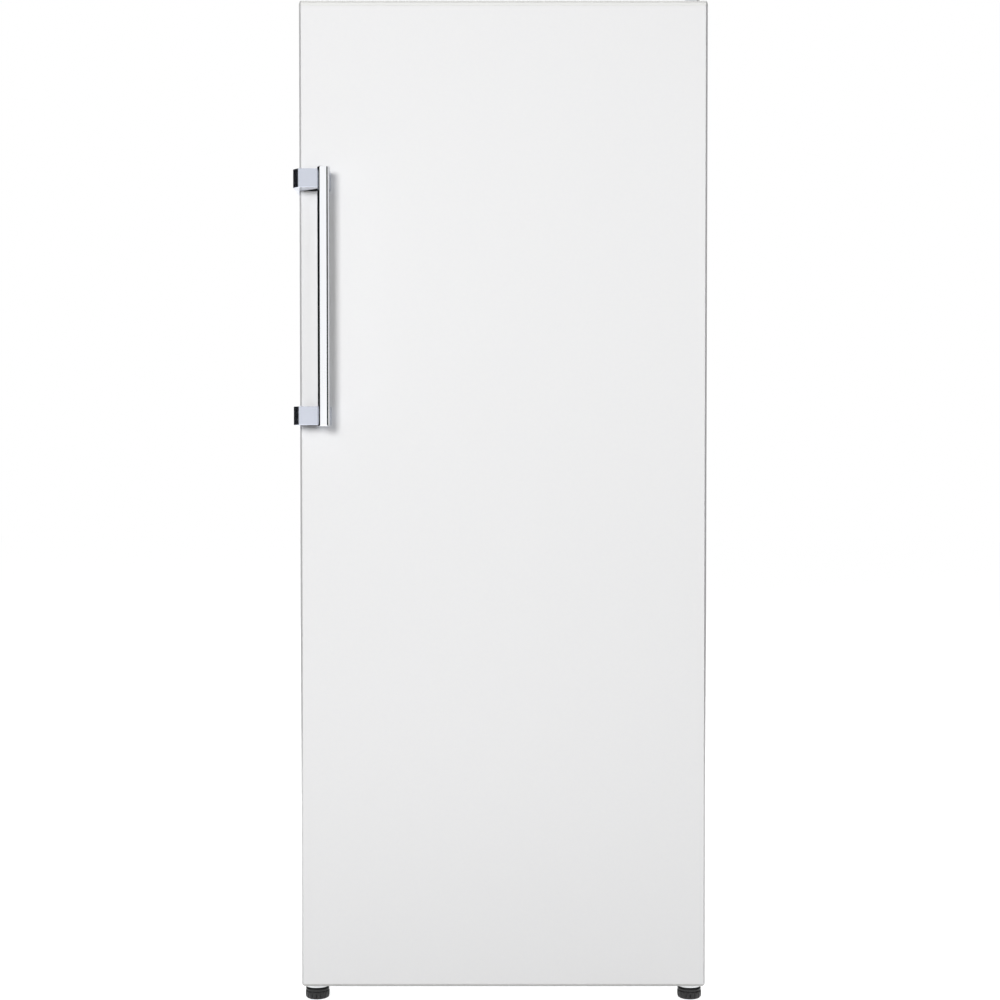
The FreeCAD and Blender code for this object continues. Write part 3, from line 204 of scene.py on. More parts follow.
def arc(before, corner, after, radius, steps):
    """Points of a bend that replaces one corner of a path."""
    to_before = (before - corner).normalized()
    to_after = (after - corner).normalized()
    half = to_before.angle(to_after) / 2
    reach = radius / math.tan(half)
    hub = corner + (to_before + to_after).normalized() * (radius / math.sin(half))
    start = corner + to_before * reach - hub
    end = corner + to_after * reach - hub
    sweep = math.pi - 2 * half
    spots = []
    for step in range(steps + 1):
        done = sweep * step / steps
        arm = start * math.sin(sweep - done) + end * math.sin(done)
        spots.append(hub + arm / math.sin(sweep))
    return spots


def rounded(corners, steps=8):
    """A closed flat outline from (u, v, bend radius) corners."""
    spots = [Vector(corner[:2]) for corner in corners]
    outline = []
    for index, (corner, spot) in enumerate(zip(corners, spots)):
        if corner[2] > 0:
            following = spots[(index + 1) % len(spots)]
            outline += arc(spots[index - 1], spot, following, corner[2], steps)
        else:
            outline.append(spot)
    return [tuple(spot) for spot in outline]


FACING = {
    "x": lambda u, v, w: (w, u, v),
    "y": lambda u, v, w: (u, w, v),
    "z": lambda u, v, w: (u, v, w),
}


def extruded(outline, low, high, along="z"):
    """An outline drawn square to one axis and carried along it."""
    turn = FACING[along]
    size = len(outline)
    corners = [turn(u, v, w) for w in (low, high) for u, v in outline]
    faces = [tuple(range(size)), tuple(range(size, 2 * size))]
    faces += [(i, (i + 1) % size, (i + 1) % size + size, i + size) for i in range(size)]
    return corners, faces


def merged(*forms):
    """Several forms as one."""
    corners, faces = [], []
    for form_corners, form_faces in forms:
        faces += [tuple(index + len(corners) for index in face) for face in form_faces]
        corners += list(form_corners)
    return corners, faces


def piece(name, form, finish, stands_for=(), body="cabinet", ease=0.0, ease_steps=3,
          crease=40, closed=True):
    """Makes a piece from its form, eases its edges, and fixes it to its body."""
    mesh = bpy.data.meshes.new(name)
    mesh.from_pydata([tuple(corner) for corner in form[0]], [], form[1])
    if closed:
        work = bmesh.new()
        work.from_mesh(mesh)
        bmesh.ops.recalc_face_normals(work, faces=work.faces)
        work.to_mesh(mesh)
        work.free()
    mesh.shade_smooth()
    mesh.materials.append(finish)
    made = bpy.data.objects.new(name, mesh)
    bpy.context.scene.collection.objects.link(made)
    if ease:
        bevel = made.modifiers.new("eased_edges", "BEVEL")
        bevel.width = ease
        bevel.segments = ease_steps
        bevel.limit_method = "ANGLE"
        bevel.angle_limit = math.radians(crease)
        bevel.harden_normals = True
    else:
        mesh.set_sharp_from_angle(angle=math.radians(crease))
    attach(made, body)
    if stands_for:
        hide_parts(*stands_for)
    return made


def surface(finish, sockets):
    """Closes a finish with its surface shader."""
    shader = add_node(finish, "BsdfPrincipled", sockets)
    add_node(finish, "OutputMaterial", {"Surface": shader.outputs[0]})


def clouded(name, grain_mm, detail, darker, lighter, stretch=None):
    """A finish whose tone drifts with a noise of a real size: the finish, the noise, the tone."""
    finish = new_finish(name)
    spot = add_node(finish, "TexCoord").outputs["Object"]
    if stretch:
        spot = add_node(finish, "Mapping", {"Vector": spot, "Scale": stretch}).outputs[0]
    noise = {"Vector": spot, "Scale": 1000 / grain_mm, "Detail": detail}
    cloud = add_node(finish, "TexNoise", noise).outputs[0]
    tones = {"Fac": cloud, "Color1": tone(darker), "Color2": tone(lighter)}
    return finish, cloud, add_node(finish, "MixRGB", tones).outputs[0]


def finish_of(name, grain_mm, detail, darker, lighter, gloss, relief=None, more=None, stretch=None):
    """A clouded finish. Its gloss is one roughness, or the two that the noise runs between,
    and its relief is the strength and the depth of the noise's bumps."""
    finish, cloud, shade = clouded(name, grain_mm, detail, darker, lighter, stretch)
    sockets = {"Base Color": shade, "Roughness": gloss, **(more or {})}
    if isinstance(gloss, tuple):
        between = {"Value": cloud, "To Min": gloss[0], "To Max": gloss[1]}
        sockets["Roughness"] = add_node(finish, "MapRange", between).outputs[0]
    if relief:
        bumps = {"Height": cloud, "Strength": relief[0], "Distance": relief[1]}
        sockets["Normal"] = add_node(finish, "Bump", bumps).outputs[0]
    surface(finish, sockets)
    return finish


# Baked polyester enamel on smooth sheet steel: even satin white, with a faint orange peel
# that softens what the paint reflects. The real peel is about 2 mm; it is drawn at 5 mm.
enamel = finish_of("baked_white_enamel", 5, 1.5, "#EAEAEB", "#ECECEC", (0.28, 0.32),
                   (0.25, 0.00006), {"IOR": 1.5})

SHEET = 0.001
WRAP_BEND = 0.006
FRONT_RETURN, RETURN_CORNER = 0.018, 0.002
wrap_low, wrap_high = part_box("outer_wrap")


def arch(thickness, inner_bend):
    """The wrap's edge seen from the front, between its outside and an inset."""
    half, crown, base = wrap_high.x, wrap_high.z, wrap_low.z
    inner = half - thickness
    return rounded([
        (-half, base, 0), (-half, crown, WRAP_BEND), (half, crown, WRAP_BEND), (half, base, 0),
        (inner, base, 0), (inner, crown - thickness, inner_bend),
        (-inner, crown - thickness, inner_bend), (-inner, base, 0)])


wrap_form = merged(
    extruded(arch(SHEET, WRAP_BEND - SHEET), wrap_low.y, wrap_high.y, "y"),
    extruded(arch(FRONT_RETURN, RETURN_CORNER), wrap_low.y, wrap_low.y + SHEET, "y"))
piece("cabinet_wrap_sheet", wrap_form, enamel, ["outer_wrap"], ease=0.0004,
      ease_steps=2)


# ---- Back panel, base pan and compressor tray ----
# Galvanised sheet left bare, because it is behind and below. The panel is screwed to the
# wrap's rear edges, and the pan rises over the compressor.

def refinish(finish, *names):
    """Gives CAD nodes that keep their shape the finish of the real piece."""
    for name in names:
        for holder in nodes[name].material_slots:
            holder.material = finish


# Hot-dip galvanised steel: dull grey with the flat crystal patches of the zinc, 14 mm across.
SPANGLE_MM = 14
galvanised = new_finish("galvanised_sheet_steel")
spot = add_node(galvanised, "TexCoord").outputs["Object"]
crystal = add_node(galvanised, "TexVoronoi", {"Vector": spot, "Scale": 1000 / SPANGLE_MM})
patch = add_node(galvanised, "RGBToBW", {"Color": crystal.outputs["Color"]}).outputs[0]
tones = {"Fac": patch, "Color1": tone("#B4B8BB"), "Color2": tone("#CBCED0")}
shade = add_node(galvanised, "MixRGB", tones)
gloss = add_node(galvanised, "MapRange", {"Value": patch, "To Min": 0.36, "To Max": 0.5})
surface(galvanised,
        {"Base Color": shade.outputs[0], "Metallic": 1.0, "Roughness": gloss.outputs[0]})
refinish(galvanised, "back_panel", "bottom_pan", "compressor_tray")

# Zinc-plated steel: brighter than galvanised, with a cool cast that the plating bath left
# uneven over 9 mm or so.
zinc = finish_of("zinc_plated_steel", 9, 4.0, "#C3C6C8", "#DADCDD", (0.2, 0.42),
                 more={"Metallic": 1.0})


def turned(profile, centre, along="z", steps=64, flutes=0, flute_depth=0.0, fluted=()):
    """(radius, height) points spun round an axis, with grooves cut in the fluted rows."""
    turn = FACING[along]
    base = Vector(centre)
    corners, faces = [], []
    for row, (radius, height) in enumerate(profile):
        for step in range(steps):
            angle = math.tau * step / steps
            reach = radius
            if row in fluted:
                reach -= flute_depth * max(0.0, math.cos(angle * flutes)) ** 2
            corners.append(base + Vector(
                turn(reach * math.cos(angle), reach * math.sin(angle), height)))
    last = (len(profile) - 1) * steps
    for row in range(0, last, steps):
        for step in range(steps):
            ahead = (step + 1) % steps
            faces.append((row + step, row + ahead, row + steps + ahead, row + steps + step))
    faces += [tuple(range(steps)), tuple(range(last, last + steps))]
    return corners, faces


def metres(*pairs):
    """Points of a profile that are given in millimetres."""
    return [(u / 1000, v / 1000) for u, v in pairs]


SCREW_HEAD = metres((0.5, 2.3), (2.6, 2.1), (3.8, 1.4), (4.3, 0))
SIDE_SCREW_X, SIDE_SCREW_LEVELS = 0.288, (0.262, 0.56, 0.86, 1.16, 1.45)
END_SCREW_X, END_SCREW_LEVELS = 0.15, (1.468, 0.252)
panel_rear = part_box("back_panel")[1].y
screw_spots = [(x, z) for z in SIDE_SCREW_LEVELS for x in (-SIDE_SCREW_X, SIDE_SCREW_X)]
screw_spots += [(x, z) for z in END_SCREW_LEVELS for x in (-END_SCREW_X, END_SCREW_X)]
screw_forms = [turned(SCREW_HEAD, (x, panel_rear, z), "y", 20) for x, z in screw_spots]
piece("back_panel_screws", merged(*screw_forms), zinc)


# ---- Inner liner and foam ----
# A tub of high-impact polystyrene, drawn by vacuum over a mould, so every corner is round.
# Its flange closes the cabinet's front, and foam poured behind it glues the walls together.

MOULDED_WALL = 0.0015


def mould(name, cage, radius_of, finish, stands_for, body="cabinet", steps=5):
    """A thin moulded sheet: a flat-faced cage whose edges are rounded by the given radii."""
    made = piece(name, cage, finish, stands_for, body, crease=30, closed=False)
    mesh = made.data
    radii = []
    for edge in mesh.edges:
        ends = [mesh.vertices[index].co for index in edge.vertices]
        radii.append(radius_of((ends[0] + ends[1]) / 2, (ends[1] - ends[0]).normalized()))
    widest = max(radii)
    weights = mesh.attributes.new("bevel_weight_edge", "FLOAT", "EDGE")
    weights.data.foreach_set("value", [radius / widest for radius in radii])
    mesh.attributes.remove(mesh.attributes["sharp_edge"])
    bevel = made.modifiers.new("mould_radii", "BEVEL")
    bevel.width = widest
    bevel.segments = steps
    bevel.limit_method = "WEIGHT"
    bevel.use_clamp_overlap = False
    bevel.harden_normals = True
    shell = made.modifiers.new("sheet", "SOLIDIFY")
    shell.thickness = MOULDED_WALL
    shell.offset = -1


# Vacuum-formed polystyrene: clean white with a soft gloss, and very slight waves where the
# sheet cooled on the mould.
WAVE_MM, PORE_MM, PORE_SHARE = 70, 4, 0.06
polystyrene, wave, shade = clouded(
    "vacuum_formed_white_polystyrene", WAVE_MM, 1.0, "#E9EAEA", "#EEEFEF")
spot = add_node(polystyrene, "TexCoord").outputs["Object"]
pore = add_node(polystyrene, "TexNoise", {"Vector": spot, "Scale": 1000 / PORE_MM, "Detail": 1.0})
relief = add_node(polystyrene, "Math", {0: pore.outputs[0], 1: PORE_SHARE, 2: wave},
                  {"operation": "MULTIPLY_ADD"})
ripple = add_node(polystyrene, "Bump",
                  {"Height": relief.outputs[0], "Strength": 0.3, "Distance": 0.0009})
surface(polystyrene,
        {"Base Color": shade, "Roughness": 0.34, "IOR": 1.55, "Normal": ripple.outputs[0]})

# Rigid polyurethane foam: straw coloured and dull, with fine cells. It shows only at joints.
CELL_MM = 2.5
foam = new_finish("poured_polyurethane_foam")
spot = add_node(foam, "TexCoord").outputs["Object"]
cells = add_node(foam, "TexVoronoi", {"Vector": spot, "Scale": 1000 / CELL_MM}).outputs["Distance"]
pits = add_node(foam, "Bump", {"Height": cells, "Strength": 0.6, "Distance": 0.0005})
shade = add_node(foam, "MixRGB",
                 {"Fac": cells, "Color1": tone("#DCCB97"), "Color2": tone("#EBDDB2")})
surface(foam, {"Base Color": shade.outputs[0], "Roughness": 0.9, "Normal": pits.outputs[0]})
refinish(foam, "foam_insulation", "door_foam")

TUB_HALF = 0.240
TUB_FLOOR, TUB_CEILING, TUB_REAR = 0.095, 1.421, 0.271
TUB_CORNER, MOUTH_CORNER = 0.0115, 0.004
HUMP_FOOT, HUMP_SHOULDER, HUMP_TOP = 0.056, 0.1017, 0.296
FLANGE_HALF, FLANGE_LOW, FLANGE_HIGH = 0.282, 0.039, 1.463
MOUTH = wrap_low.y

side_profile = [
    (MOUTH, TUB_FLOOR), (HUMP_FOOT, TUB_FLOOR), (HUMP_SHOULDER, HUMP_TOP), (TUB_REAR, HUMP_TOP),
    (TUB_REAR, TUB_CEILING), (MOUTH, TUB_CEILING)]
tub_corners = [(x, y, z) for x in (-TUB_HALF, TUB_HALF) for y, z in side_profile]
tub_corners += [
    (x, MOUTH, z) for x in (-FLANGE_HALF, FLANGE_HALF) for z in (FLANGE_LOW, FLANGE_HIGH)]
tub_faces = [(i, i + 1, i + 7, i + 6) for i in range(5)]
tub_faces += [(5, 4, 3, 2, 1, 0), (6, 7, 8, 9, 10, 11)]
tub_faces += [(12, 0, 6, 14), (14, 6, 11, 15), (15, 11, 5, 13), (13, 5, 0, 12)]


NEAR = 0.001


def tub_radius(middle, along):
    """Wide radii inside the tub, a small one round its mouth, none on the flat flange."""
    if abs(middle.x) > TUB_HALF + NEAR or not TUB_FLOOR - NEAR < middle.z < TUB_CEILING + NEAR:
        return 0.0
    return MOUTH_CORNER if middle.y < MOUTH + NEAR else TUB_CORNER


mould("cabinet_liner_tub", (tub_corners, tub_faces), tub_radius, polystyrene,
      ["inner_liner"])


# ---- Hinge brackets, pins and screws ----
# Pressed plates, zinc plated: one screwed on the roof and two under the cabinet, whose
# noses reach forward below the door. The lower pin turns in the door and carries the foot.

def eased(name, node, finish, radius, steps=2, crease=32):
    """A node's own form with its edges rounded, as the press or the mould leaves them."""
    work = bmesh.new()
    work.from_mesh(nodes[node].data)
    bmesh.ops.remove_doubles(work, verts=work.verts, dist=0.00001)
    bmesh.ops.dissolve_limit(
        work, angle_limit=math.radians(0.5), verts=work.verts, edges=work.edges)
    work.verts.index_update()
    corners = [vertex.co.copy() for vertex in work.verts]
    faces = [tuple(vertex.index for vertex in face.verts) for face in work.faces]
    work.free()
    body = nodes[node]["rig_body"]
    return piece(name, (corners, faces), finish, [node], body, radius, steps, crease)


refinish(zinc, "upper_hinge_pin", "hinge_screws", "lower_hinge_pin", "left_foot_stud")
NOSE_ROUNDING = 0.46
PLATE_CORNER, SHOULDER_CORNER, THROAT_CORNER = 0.003, 0.002, 0.004
PLATES = (
    # name, the node it stands for, its side, nose width, and the ends of its waist
    ("upper_hinge_plate", "upper_hinge_bracket", 1, 0.028, 0.006, 0.008),
    ("lower_hinge_plate", "lower_hinge_bracket", 1, 0.034, 0.004, 0.011),
    ("left_foot_plate", "left_foot_bracket", -1, 0.034, 0.004, 0.011),
)
for name, node, side, nose, shoulder, throat in PLATES:
    low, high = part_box(node)
    outer, wide = (high.x, low.x) if side > 0 else (low.x, high.x)
    inner = outer - side * nose
    outline = rounded([
        (inner, low.y, nose * NOSE_ROUNDING), (outer, low.y, nose * NOSE_ROUNDING),
        (outer, high.y, PLATE_CORNER), (wide, high.y, PLATE_CORNER),
        (wide, MOUTH + shoulder, SHOULDER_CORNER), (inner, MOUTH - throat, THROAT_CORNER)])
    piece(name, extruded(outline, low.z, high.z), zinc, [node], ease=0.0004,
          ease_steps=2)

# Injection-moulded ABS: white like the paint but a little warmer, with an even fine gloss.
abs_plastic = finish_of("white_abs_moulding", 1.6, 2.0, "#E4E4E2", "#EAEAE8", 0.38, (0.25, 0.00005),
                        {"IOR": 1.54})

# Natural nylon, turned to slide on steel: warm off-white and slightly waxy.
nylon = finish_of("natural_nylon_bearing", 3, 2.0, "#DDD8CB", "#E8E4DA", 0.48,
                  more={"Subsurface Weight": 0.1, "Subsurface Radius": (0.003, 0.003, 0.002)})
refinish(nylon, "hinge_washer", "lower_hinge_bush", "upper_hinge_bush")

COVER_CORNER, COVER_CROWN, CROWN_STEPS = 0.007, 0.0025, 5
COVER_LIP, COVER_GAP, CREST_INSET = 0.0016, 0.0002, 0.012
cover_low, cover_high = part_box("upper_hinge_cover")


def lid_ring(inset, level):
    """One level of the cover's wall, drawn in by an inset."""
    corner = max(COVER_CORNER - inset, 0.001)
    left, right = cover_low.x + inset, cover_high.x - inset
    near, far = cover_low.y + inset, cover_high.y - inset
    return [(u, v, level) for u, v in rounded([
        (left, near, corner), (right, near, corner), (right, far, corner), (left, far, corner)])]


def lofted(rings, capped=True):
    """A skin over rings that hold the same number of points."""
    size = len(rings[0])
    corners = [corner for ring in rings for corner in ring]
    faces = []
    for row in range(0, (len(rings) - 1) * size, size):
        for i in range(size):
            ahead = (i + 1) % size
            faces.append((row + i, row + ahead, row + size + ahead, row + size + i))
    if capped:
        faces += [tuple(range(size)), tuple(range(len(corners) - size, len(corners)))]
    return corners, faces


cover_foot = cover_low.z + COVER_GAP
cover_rings = [lid_ring(COVER_LIP, cover_foot), lid_ring(0, cover_foot),
               lid_ring(0, cover_high.z - COVER_CROWN)]
for step in range(1, CROWN_STEPS + 1):
    lean = math.radians(90 * step / CROWN_STEPS)
    inset, drop = COVER_CROWN * (1 - math.cos(lean)), COVER_CROWN * (1 - math.sin(lean))
    cover_rings.append(lid_ring(inset, cover_high.z - drop))
cover_rings.append(lid_ring(CREST_INSET, cover_high.z - 0.00005))
piece("upper_hinge_lid", lofted(cover_rings), abs_plastic, ["upper_hinge_cover"])


# ---- Levelling feet and rear rollers ----
# Black polypropylene mouldings. Each foot is a ribbed barrel for gripping, screwed on a
# threaded stud; the rollers turn on steel axles in channels under the rear.

# Spark-eroded polypropylene: near black, half matt, with a fine grain drawn at 1.2 mm.
polypropylene = finish_of("black_polypropylene", 1.2, 2.0, "#0B0B0C", "#151516", 0.36,
                          (0.35, 0.0001), {"IOR": 1.49})

FOOT_RIBS, FLUTE_DEPTH, BARREL_ROWS = 16, 0.0015, (3, 4, 5, 6)
FOOT_PROFILE = metres(
    (14.6, 0), (16, 0.4), (17, 1.2), (17.6, 2.4), (17.9, 3.8), (18, 6), (18, 10.4), (17.6, 11.2),
    (16.3, 11.5), (16.3, 12.4), (17.4, 12.8), (17.6, 14.6), (16.8, 16.2), (15.2, 17.3),
    (13.4, 17.7),
    (6.4, 17.7), (5.8, 17.1), (4.1, 17.1))
for side, body in (("right", "right_foot"), ("left", "left_foot")):
    low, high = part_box(side + "_levelling_foot")
    middle = ((low.x + high.x) / 2, (low.y + high.y) / 2, low.z)
    form = turned(FOOT_PROFILE, middle, steps=FOOT_RIBS * 8, flutes=FOOT_RIBS,
                  flute_depth=FLUTE_DEPTH, fluted=BARREL_ROWS)
    piece(side + "_foot_barrel", form, polypropylene, [side + "_levelling_foot"],
          body,
          crease=50)


def way_back(profile, middle=0.0):
    """A profile's mirror image about one height, drawn from its far end."""
    return [(radius, 2 * middle - height) for radius, height in reversed(profile)]


# Half a roller: bore, hub boss, recessed web, shoulder and tread, in from its outer face.
HALF_ROLLER = metres(
    (4.5, 1), (8.5, 1), (9, 0), (15.5, 0), (15.8, 1), (17.5, 1), (18.8, 2), (20, 5))
for side in ("right", "left"):
    low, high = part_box("rear_roller_" + side)
    half = (high.x - low.x) / 2
    profile = [(radius, depth - half) for radius, depth in HALF_ROLLER]
    profile += way_back(profile)
    piece("roller_wheel_" + side, turned(profile, (low + high) / 2, "x"), polypropylene,
          ["rear_roller_" + side], side + "_roller", crease=35)
    eased("roller_channel_" + side, "roller_bracket_" + side, galvanised, 0.0005)
refinish(zinc, "roller_axles")


# ---- Evaporator shelves ----
# Steel tube bent to and fro with wires resistance-welded across it, all coated white. Each
# shelf is also a part of the evaporator: tubes up the rear corner join one to the next.

def bent(points, radius, steps=6):
    """A wire's or a tube's path: straight runs joined by bends."""
    spots = [Vector(point) for point in points]
    path = [spots[0]]
    for before, corner, after in zip(spots, spots[1:], spots[2:]):
        path += arc(before, corner, after, radius, steps)
    return path + [spots[-1]]


def wirework(name, runs, finish, stands_for):
    """Round wires and tubes, given as (path, thickness), welded into one piece."""
    data = bpy.data.curves.new(name, "CURVE")
    data.dimensions = "3D"
    data.bevel_depth = 0.001
    data.bevel_resolution = 3
    data.use_fill_caps = True
    for path, thickness in runs:
        spline = data.splines.new("POLY")
        spline.points.add(len(path) - 1)
        for point, spot in zip(spline.points, path):
            point.co = (*spot, 1)
            point.radius = thickness / 2 / data.bevel_depth
    data.materials.append(finish)
    made = bpy.data.objects.new(name, data)
    bpy.context.scene.collection.objects.link(made)
    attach(made, "cabinet")
    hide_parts(*stands_for)


# Powder coat on wire: soft white, slightly pebbled, with a low gloss that frost dulls.
coated_wire = finish_of("white_powder_coated_wire", 2.2, 2.0, "#DDDEDE", "#E9EAEA", 0.4,
                        (0.3, 0.0001))

TUBE, SHELF_WIRE = 0.008, 0.0022
SHELF_BASE, SHELF_PITCH = 0.345, 0.270
RUN_PITCH, RUNS, STUB = 0.066, 6, 0.014
REAR_RUN, LEFT_BEND, RIGHT_BEND = 0.240, -0.208, 0.228
RETURN_X, TUBE_START, LINK_BEND, INLET_BEND = -0.226, -0.206, 0.0128, 0.0115
WIRE_NEAR, WIRE_FAR, WIRE_START, WIRE_PITCH, WIRES = -0.114, 0.260, -0.205, 0.0233, 19
shelf_nodes = sorted(name for name in nodes if name.startswith("evaporator_shelf"))
shelf_levels = [SHELF_BASE + SHELF_PITCH * index for index in range(len(shelf_nodes))]
for node, level in zip(shelf_nodes, shelf_levels):
    route = [(TUBE_START, REAR_RUN, level)]
    for run in range(RUNS):
        y = REAR_RUN - RUN_PITCH * run
        ends = (LEFT_BEND, RIGHT_BEND) if run % 2 == 0 else (RIGHT_BEND, LEFT_BEND)
        if run > 0:
            route.append((ends[0], y, level))
        route.append((ends[1] if run < RUNS - 1 else RETURN_X, y, level))
    route.append((RETURN_X, REAR_RUN - STUB, level))
    runs = [(bent(route, RUN_PITCH / 2 - 0.0001, 10), TUBE)]
    rise = (TUBE + SHELF_WIRE) / 2
    for index in range(WIRES):
        x = WIRE_START + WIRE_PITCH * index + SHELF_WIRE / 2
        runs.append(([(x, WIRE_NEAR, level + rise), (x, WIRE_FAR, level + rise)], SHELF_WIRE))
        if index % 4 == 1:
            under = x + WIRE_PITCH / 2
            runs.append(([(under, WIRE_NEAR, level - rise), (under, WIRE_FAR, level - rise)],
                         SHELF_WIRE))
    end = WIRE_START + WIRE_PITCH * (WIRES - 1) + SHELF_WIRE
    for y in (WIRE_NEAR + SHELF_WIRE / 2, WIRE_FAR - SHELF_WIRE / 2):
        cross = level + TUBE / 2 - SHELF_WIRE / 2
        runs.append(([(WIRE_START, y, cross), (end, y, cross)], SHELF_WIRE))
    wirework(
        node.replace("evaporator_shelf", "wire_shelf"), runs, coated_wire, [node])

links = []
stub_y, first, last = REAR_RUN - STUB, shelf_levels[0], shelf_levels[-1]
for low, high in zip(shelf_levels, shelf_levels[1:]):
    riser = [(RETURN_X, stub_y, low), (RETURN_X, REAR_RUN, low), (RETURN_X, REAR_RUN, high),
             (TUBE_START, REAR_RUN, high)]
    links.append((bent(riser, LINK_BEND), TUBE))
links.append(([(RETURN_X, stub_y, last), (RETURN_X, TUB_REAR - 0.0025, last)], TUBE))
inlet = [(TUBE_START, REAR_RUN, first), (TUBE_START - STUB, REAR_RUN, first),
         (TUBE_START - STUB, TUB_REAR - 0.001, first)]
links.append((bent(inlet, INLET_BEND), TUBE))
wirework("evaporator_risers", links, coated_wire, ["evaporator_link_tubes"])
eased("shelf_ledges", "shelf_clips", abs_plastic, 0.0014, 3)


# ---- Bottom basket ----
# A lift-out basket of coated wire on the cabinet's floor: three thicker rings, and thin
# wires bent to a U that run down one side, under the floor and up the other.

BASKET_RING, BASKET_WIRE, BASKET_BEND, BASKET_GAP = 0.005, 0.003, 0.006, 0.036
basket_low, basket_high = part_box("bottom_basket")
inset, half_wire = BASKET_RING / 2, BASKET_WIRE / 2
left, right = basket_low.x + inset, basket_high.x - inset
near, far = basket_low.y + inset, basket_high.y - inset
base, crown = basket_low.z, basket_high.z
basket_runs = []
for level in (base + BASKET_WIRE + inset, (base + crown) / 2 + inset, crown - inset):
    corners = [Vector((x, y, level))
               for x, y in ((left, near), (right, near), (right, far), (left, far))]
    ring = []
    for index in range(4):
        ring += arc(corners[index - 1], corners[index], corners[(index + 1) % 4], BASKET_BEND, 6)
    basket_runs.append((ring + ring[:1], BASKET_RING))

for axis, low in ((0, base + half_wire), (1, base + BASKET_WIRE + half_wire)):
    start = basket_low[axis] + BASKET_RING
    margin = BASKET_RING + half_wire
    one, other = basket_low[1 - axis] + margin, basket_high[1 - axis] - margin
    for index in range(int((basket_high[axis] - start - BASKET_RING) // BASKET_GAP)):
        along = start + BASKET_GAP * (index + 0.5)
        path = [(along, side, z)
                for side, z in ((one, crown), (one, low), (other, low), (other, crown))]
        if axis == 1:
            path = [(x, y, z) for y, x, z in path]
        basket_runs.append((bent(path, BASKET_BEND), BASKET_WIRE))
wirework("wire_basket", basket_runs, coated_wire, ["bottom_basket"])


# ---- Thermostat and drain ----
# A moulded box on the right wall holds the switch. Its dial is a ribbed knob with a pointer
# and turns on a stub; a ring of plain marks on the box shows how far. A plug shuts the drain.

eased("thermostat_box", "thermostat_housing", abs_plastic, 0.003, 4)
dial_low, dial_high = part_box("thermostat_dial")
dial_middle = (dial_low + dial_high) / 2
dial_seat = dial_high.x
DIAL_RIBS, DIAL_FLUTE, DIAL_EDGE = 20, 0.0006, 0.001
rim = (dial_high.z - dial_low.z) / 2
profile = [(rim - DIAL_EDGE, 0.0), (rim, 0.001), (rim, 0.004), (rim - DIAL_EDGE, 0.0052)]
profile += metres((13.8, 5.8), (13.2, 6.8), (12.2, 8.6), (10.8, 9), (1, 9))
GRIP_LENGTH, GRIP_WIDTH, GRIP_CORNER = 0.0145, 0.0031, 0.003
skirt = turned(profile, (0, 0, 0), steps=DIAL_RIBS * 8, flutes=DIAL_RIBS,
               flute_depth=DIAL_FLUTE, fluted=(1, 2))
grip_outline = rounded([(u * GRIP_LENGTH, v * GRIP_WIDTH, GRIP_CORNER) for u, v in QUARTERS], 5)
grip = extruded(grip_outline, 0.0088, 0.0138)
knob_corners, knob_faces = merged(skirt, grip)
knob = [(dial_seat - w, dial_middle.y + v, dial_middle.z + u) for u, v, w in knob_corners]
piece("thermostat_knob", (knob, knob_faces), abs_plastic, ["thermostat_dial"],
      "dial",
      ease=0.0005, ease_steps=2, crease=35)

# Pad-printed marks: flat mid-grey ink.
ink = finish_of("grey_printing_ink", 1.0, 2.0, "#4E5358", "#61666B", 0.6)
INK_DEPTH = 0.00015
box_face = dial_seat + 0.0003
mark_forms = []
MARKS, MARK_SWEEP, MARK_NEAR, MARK_FAR = 7, 300, 0.0195, 0.0235
for index in range(MARKS):
    angle = math.radians(90 + MARK_SWEEP / 2 - MARK_SWEEP * index / (MARKS - 1))
    ray = Vector((math.cos(angle), math.sin(angle)))
    side = Vector((-ray.y, ray.x)) * (0.0004 + 0.00008 * index)
    near, far = ray * MARK_NEAR, ray * MARK_FAR
    outline = [(dial_middle.y + spot.x, dial_middle.z + spot.y)
               for spot in (near + side, far + side, far - side, near - side)]
    mark_forms.append(extruded(outline, box_face - INK_DEPTH, box_face, "x"))
piece("thermostat_marks", merged(*mark_forms), ink)
pointer = [(dial_middle.y + u, dial_middle.z + v)
           for u, v in metres((1.8, 12.5), (0, 15.8), (-1.8, 12.5))]
piece("knob_pointer", extruded(pointer, dial_seat - 0.00595, dial_seat - 0.0056, "x"), ink,
      body="dial")
refinish(abs_plastic, "drain_plug")


# ---- Door: front sheet, end caps and bushes ----
# One painted sheet folded back round both sides, closed above and below by moulded caps.
# Each edge is bent twice, with a steep flank between face and side. The hinge pins turn in
# nylon bushes in the caps; a spare hole at the left is plugged.

FLANK_WIDTH, FLANK_DEPTH = 0.0036, 0.009
FACE_BEND, SIDE_BEND, REAR_BEND = 0.0012, 0.004, 0.0009
INNER_FACE_BEND, INNER_SIDE_BEND = 0.0004, 0.003
REAR_FOLD = 0.012
skin_low, skin_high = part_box("door_skin")
door_half, door_face, door_rear = skin_high.x, skin_low.y, skin_high.y


def edge_bends(inset, face_bend, side_bend):
    """The two bends of the door's right edge. The factors keep an inset flank parallel."""
    return [(door_half - FLANK_WIDTH - 0.68 * inset, door_face + inset, face_bend),
            (door_half - inset, door_face + FLANK_DEPTH + 0.19 * inset, side_bend)]


def both_sides(right):
    """The right half of an outline, completed with its mirror image."""
    left = [(-u, v, bend) for u, v, bend in reversed(right)]
    return left[-1:] + right + left[:-1]


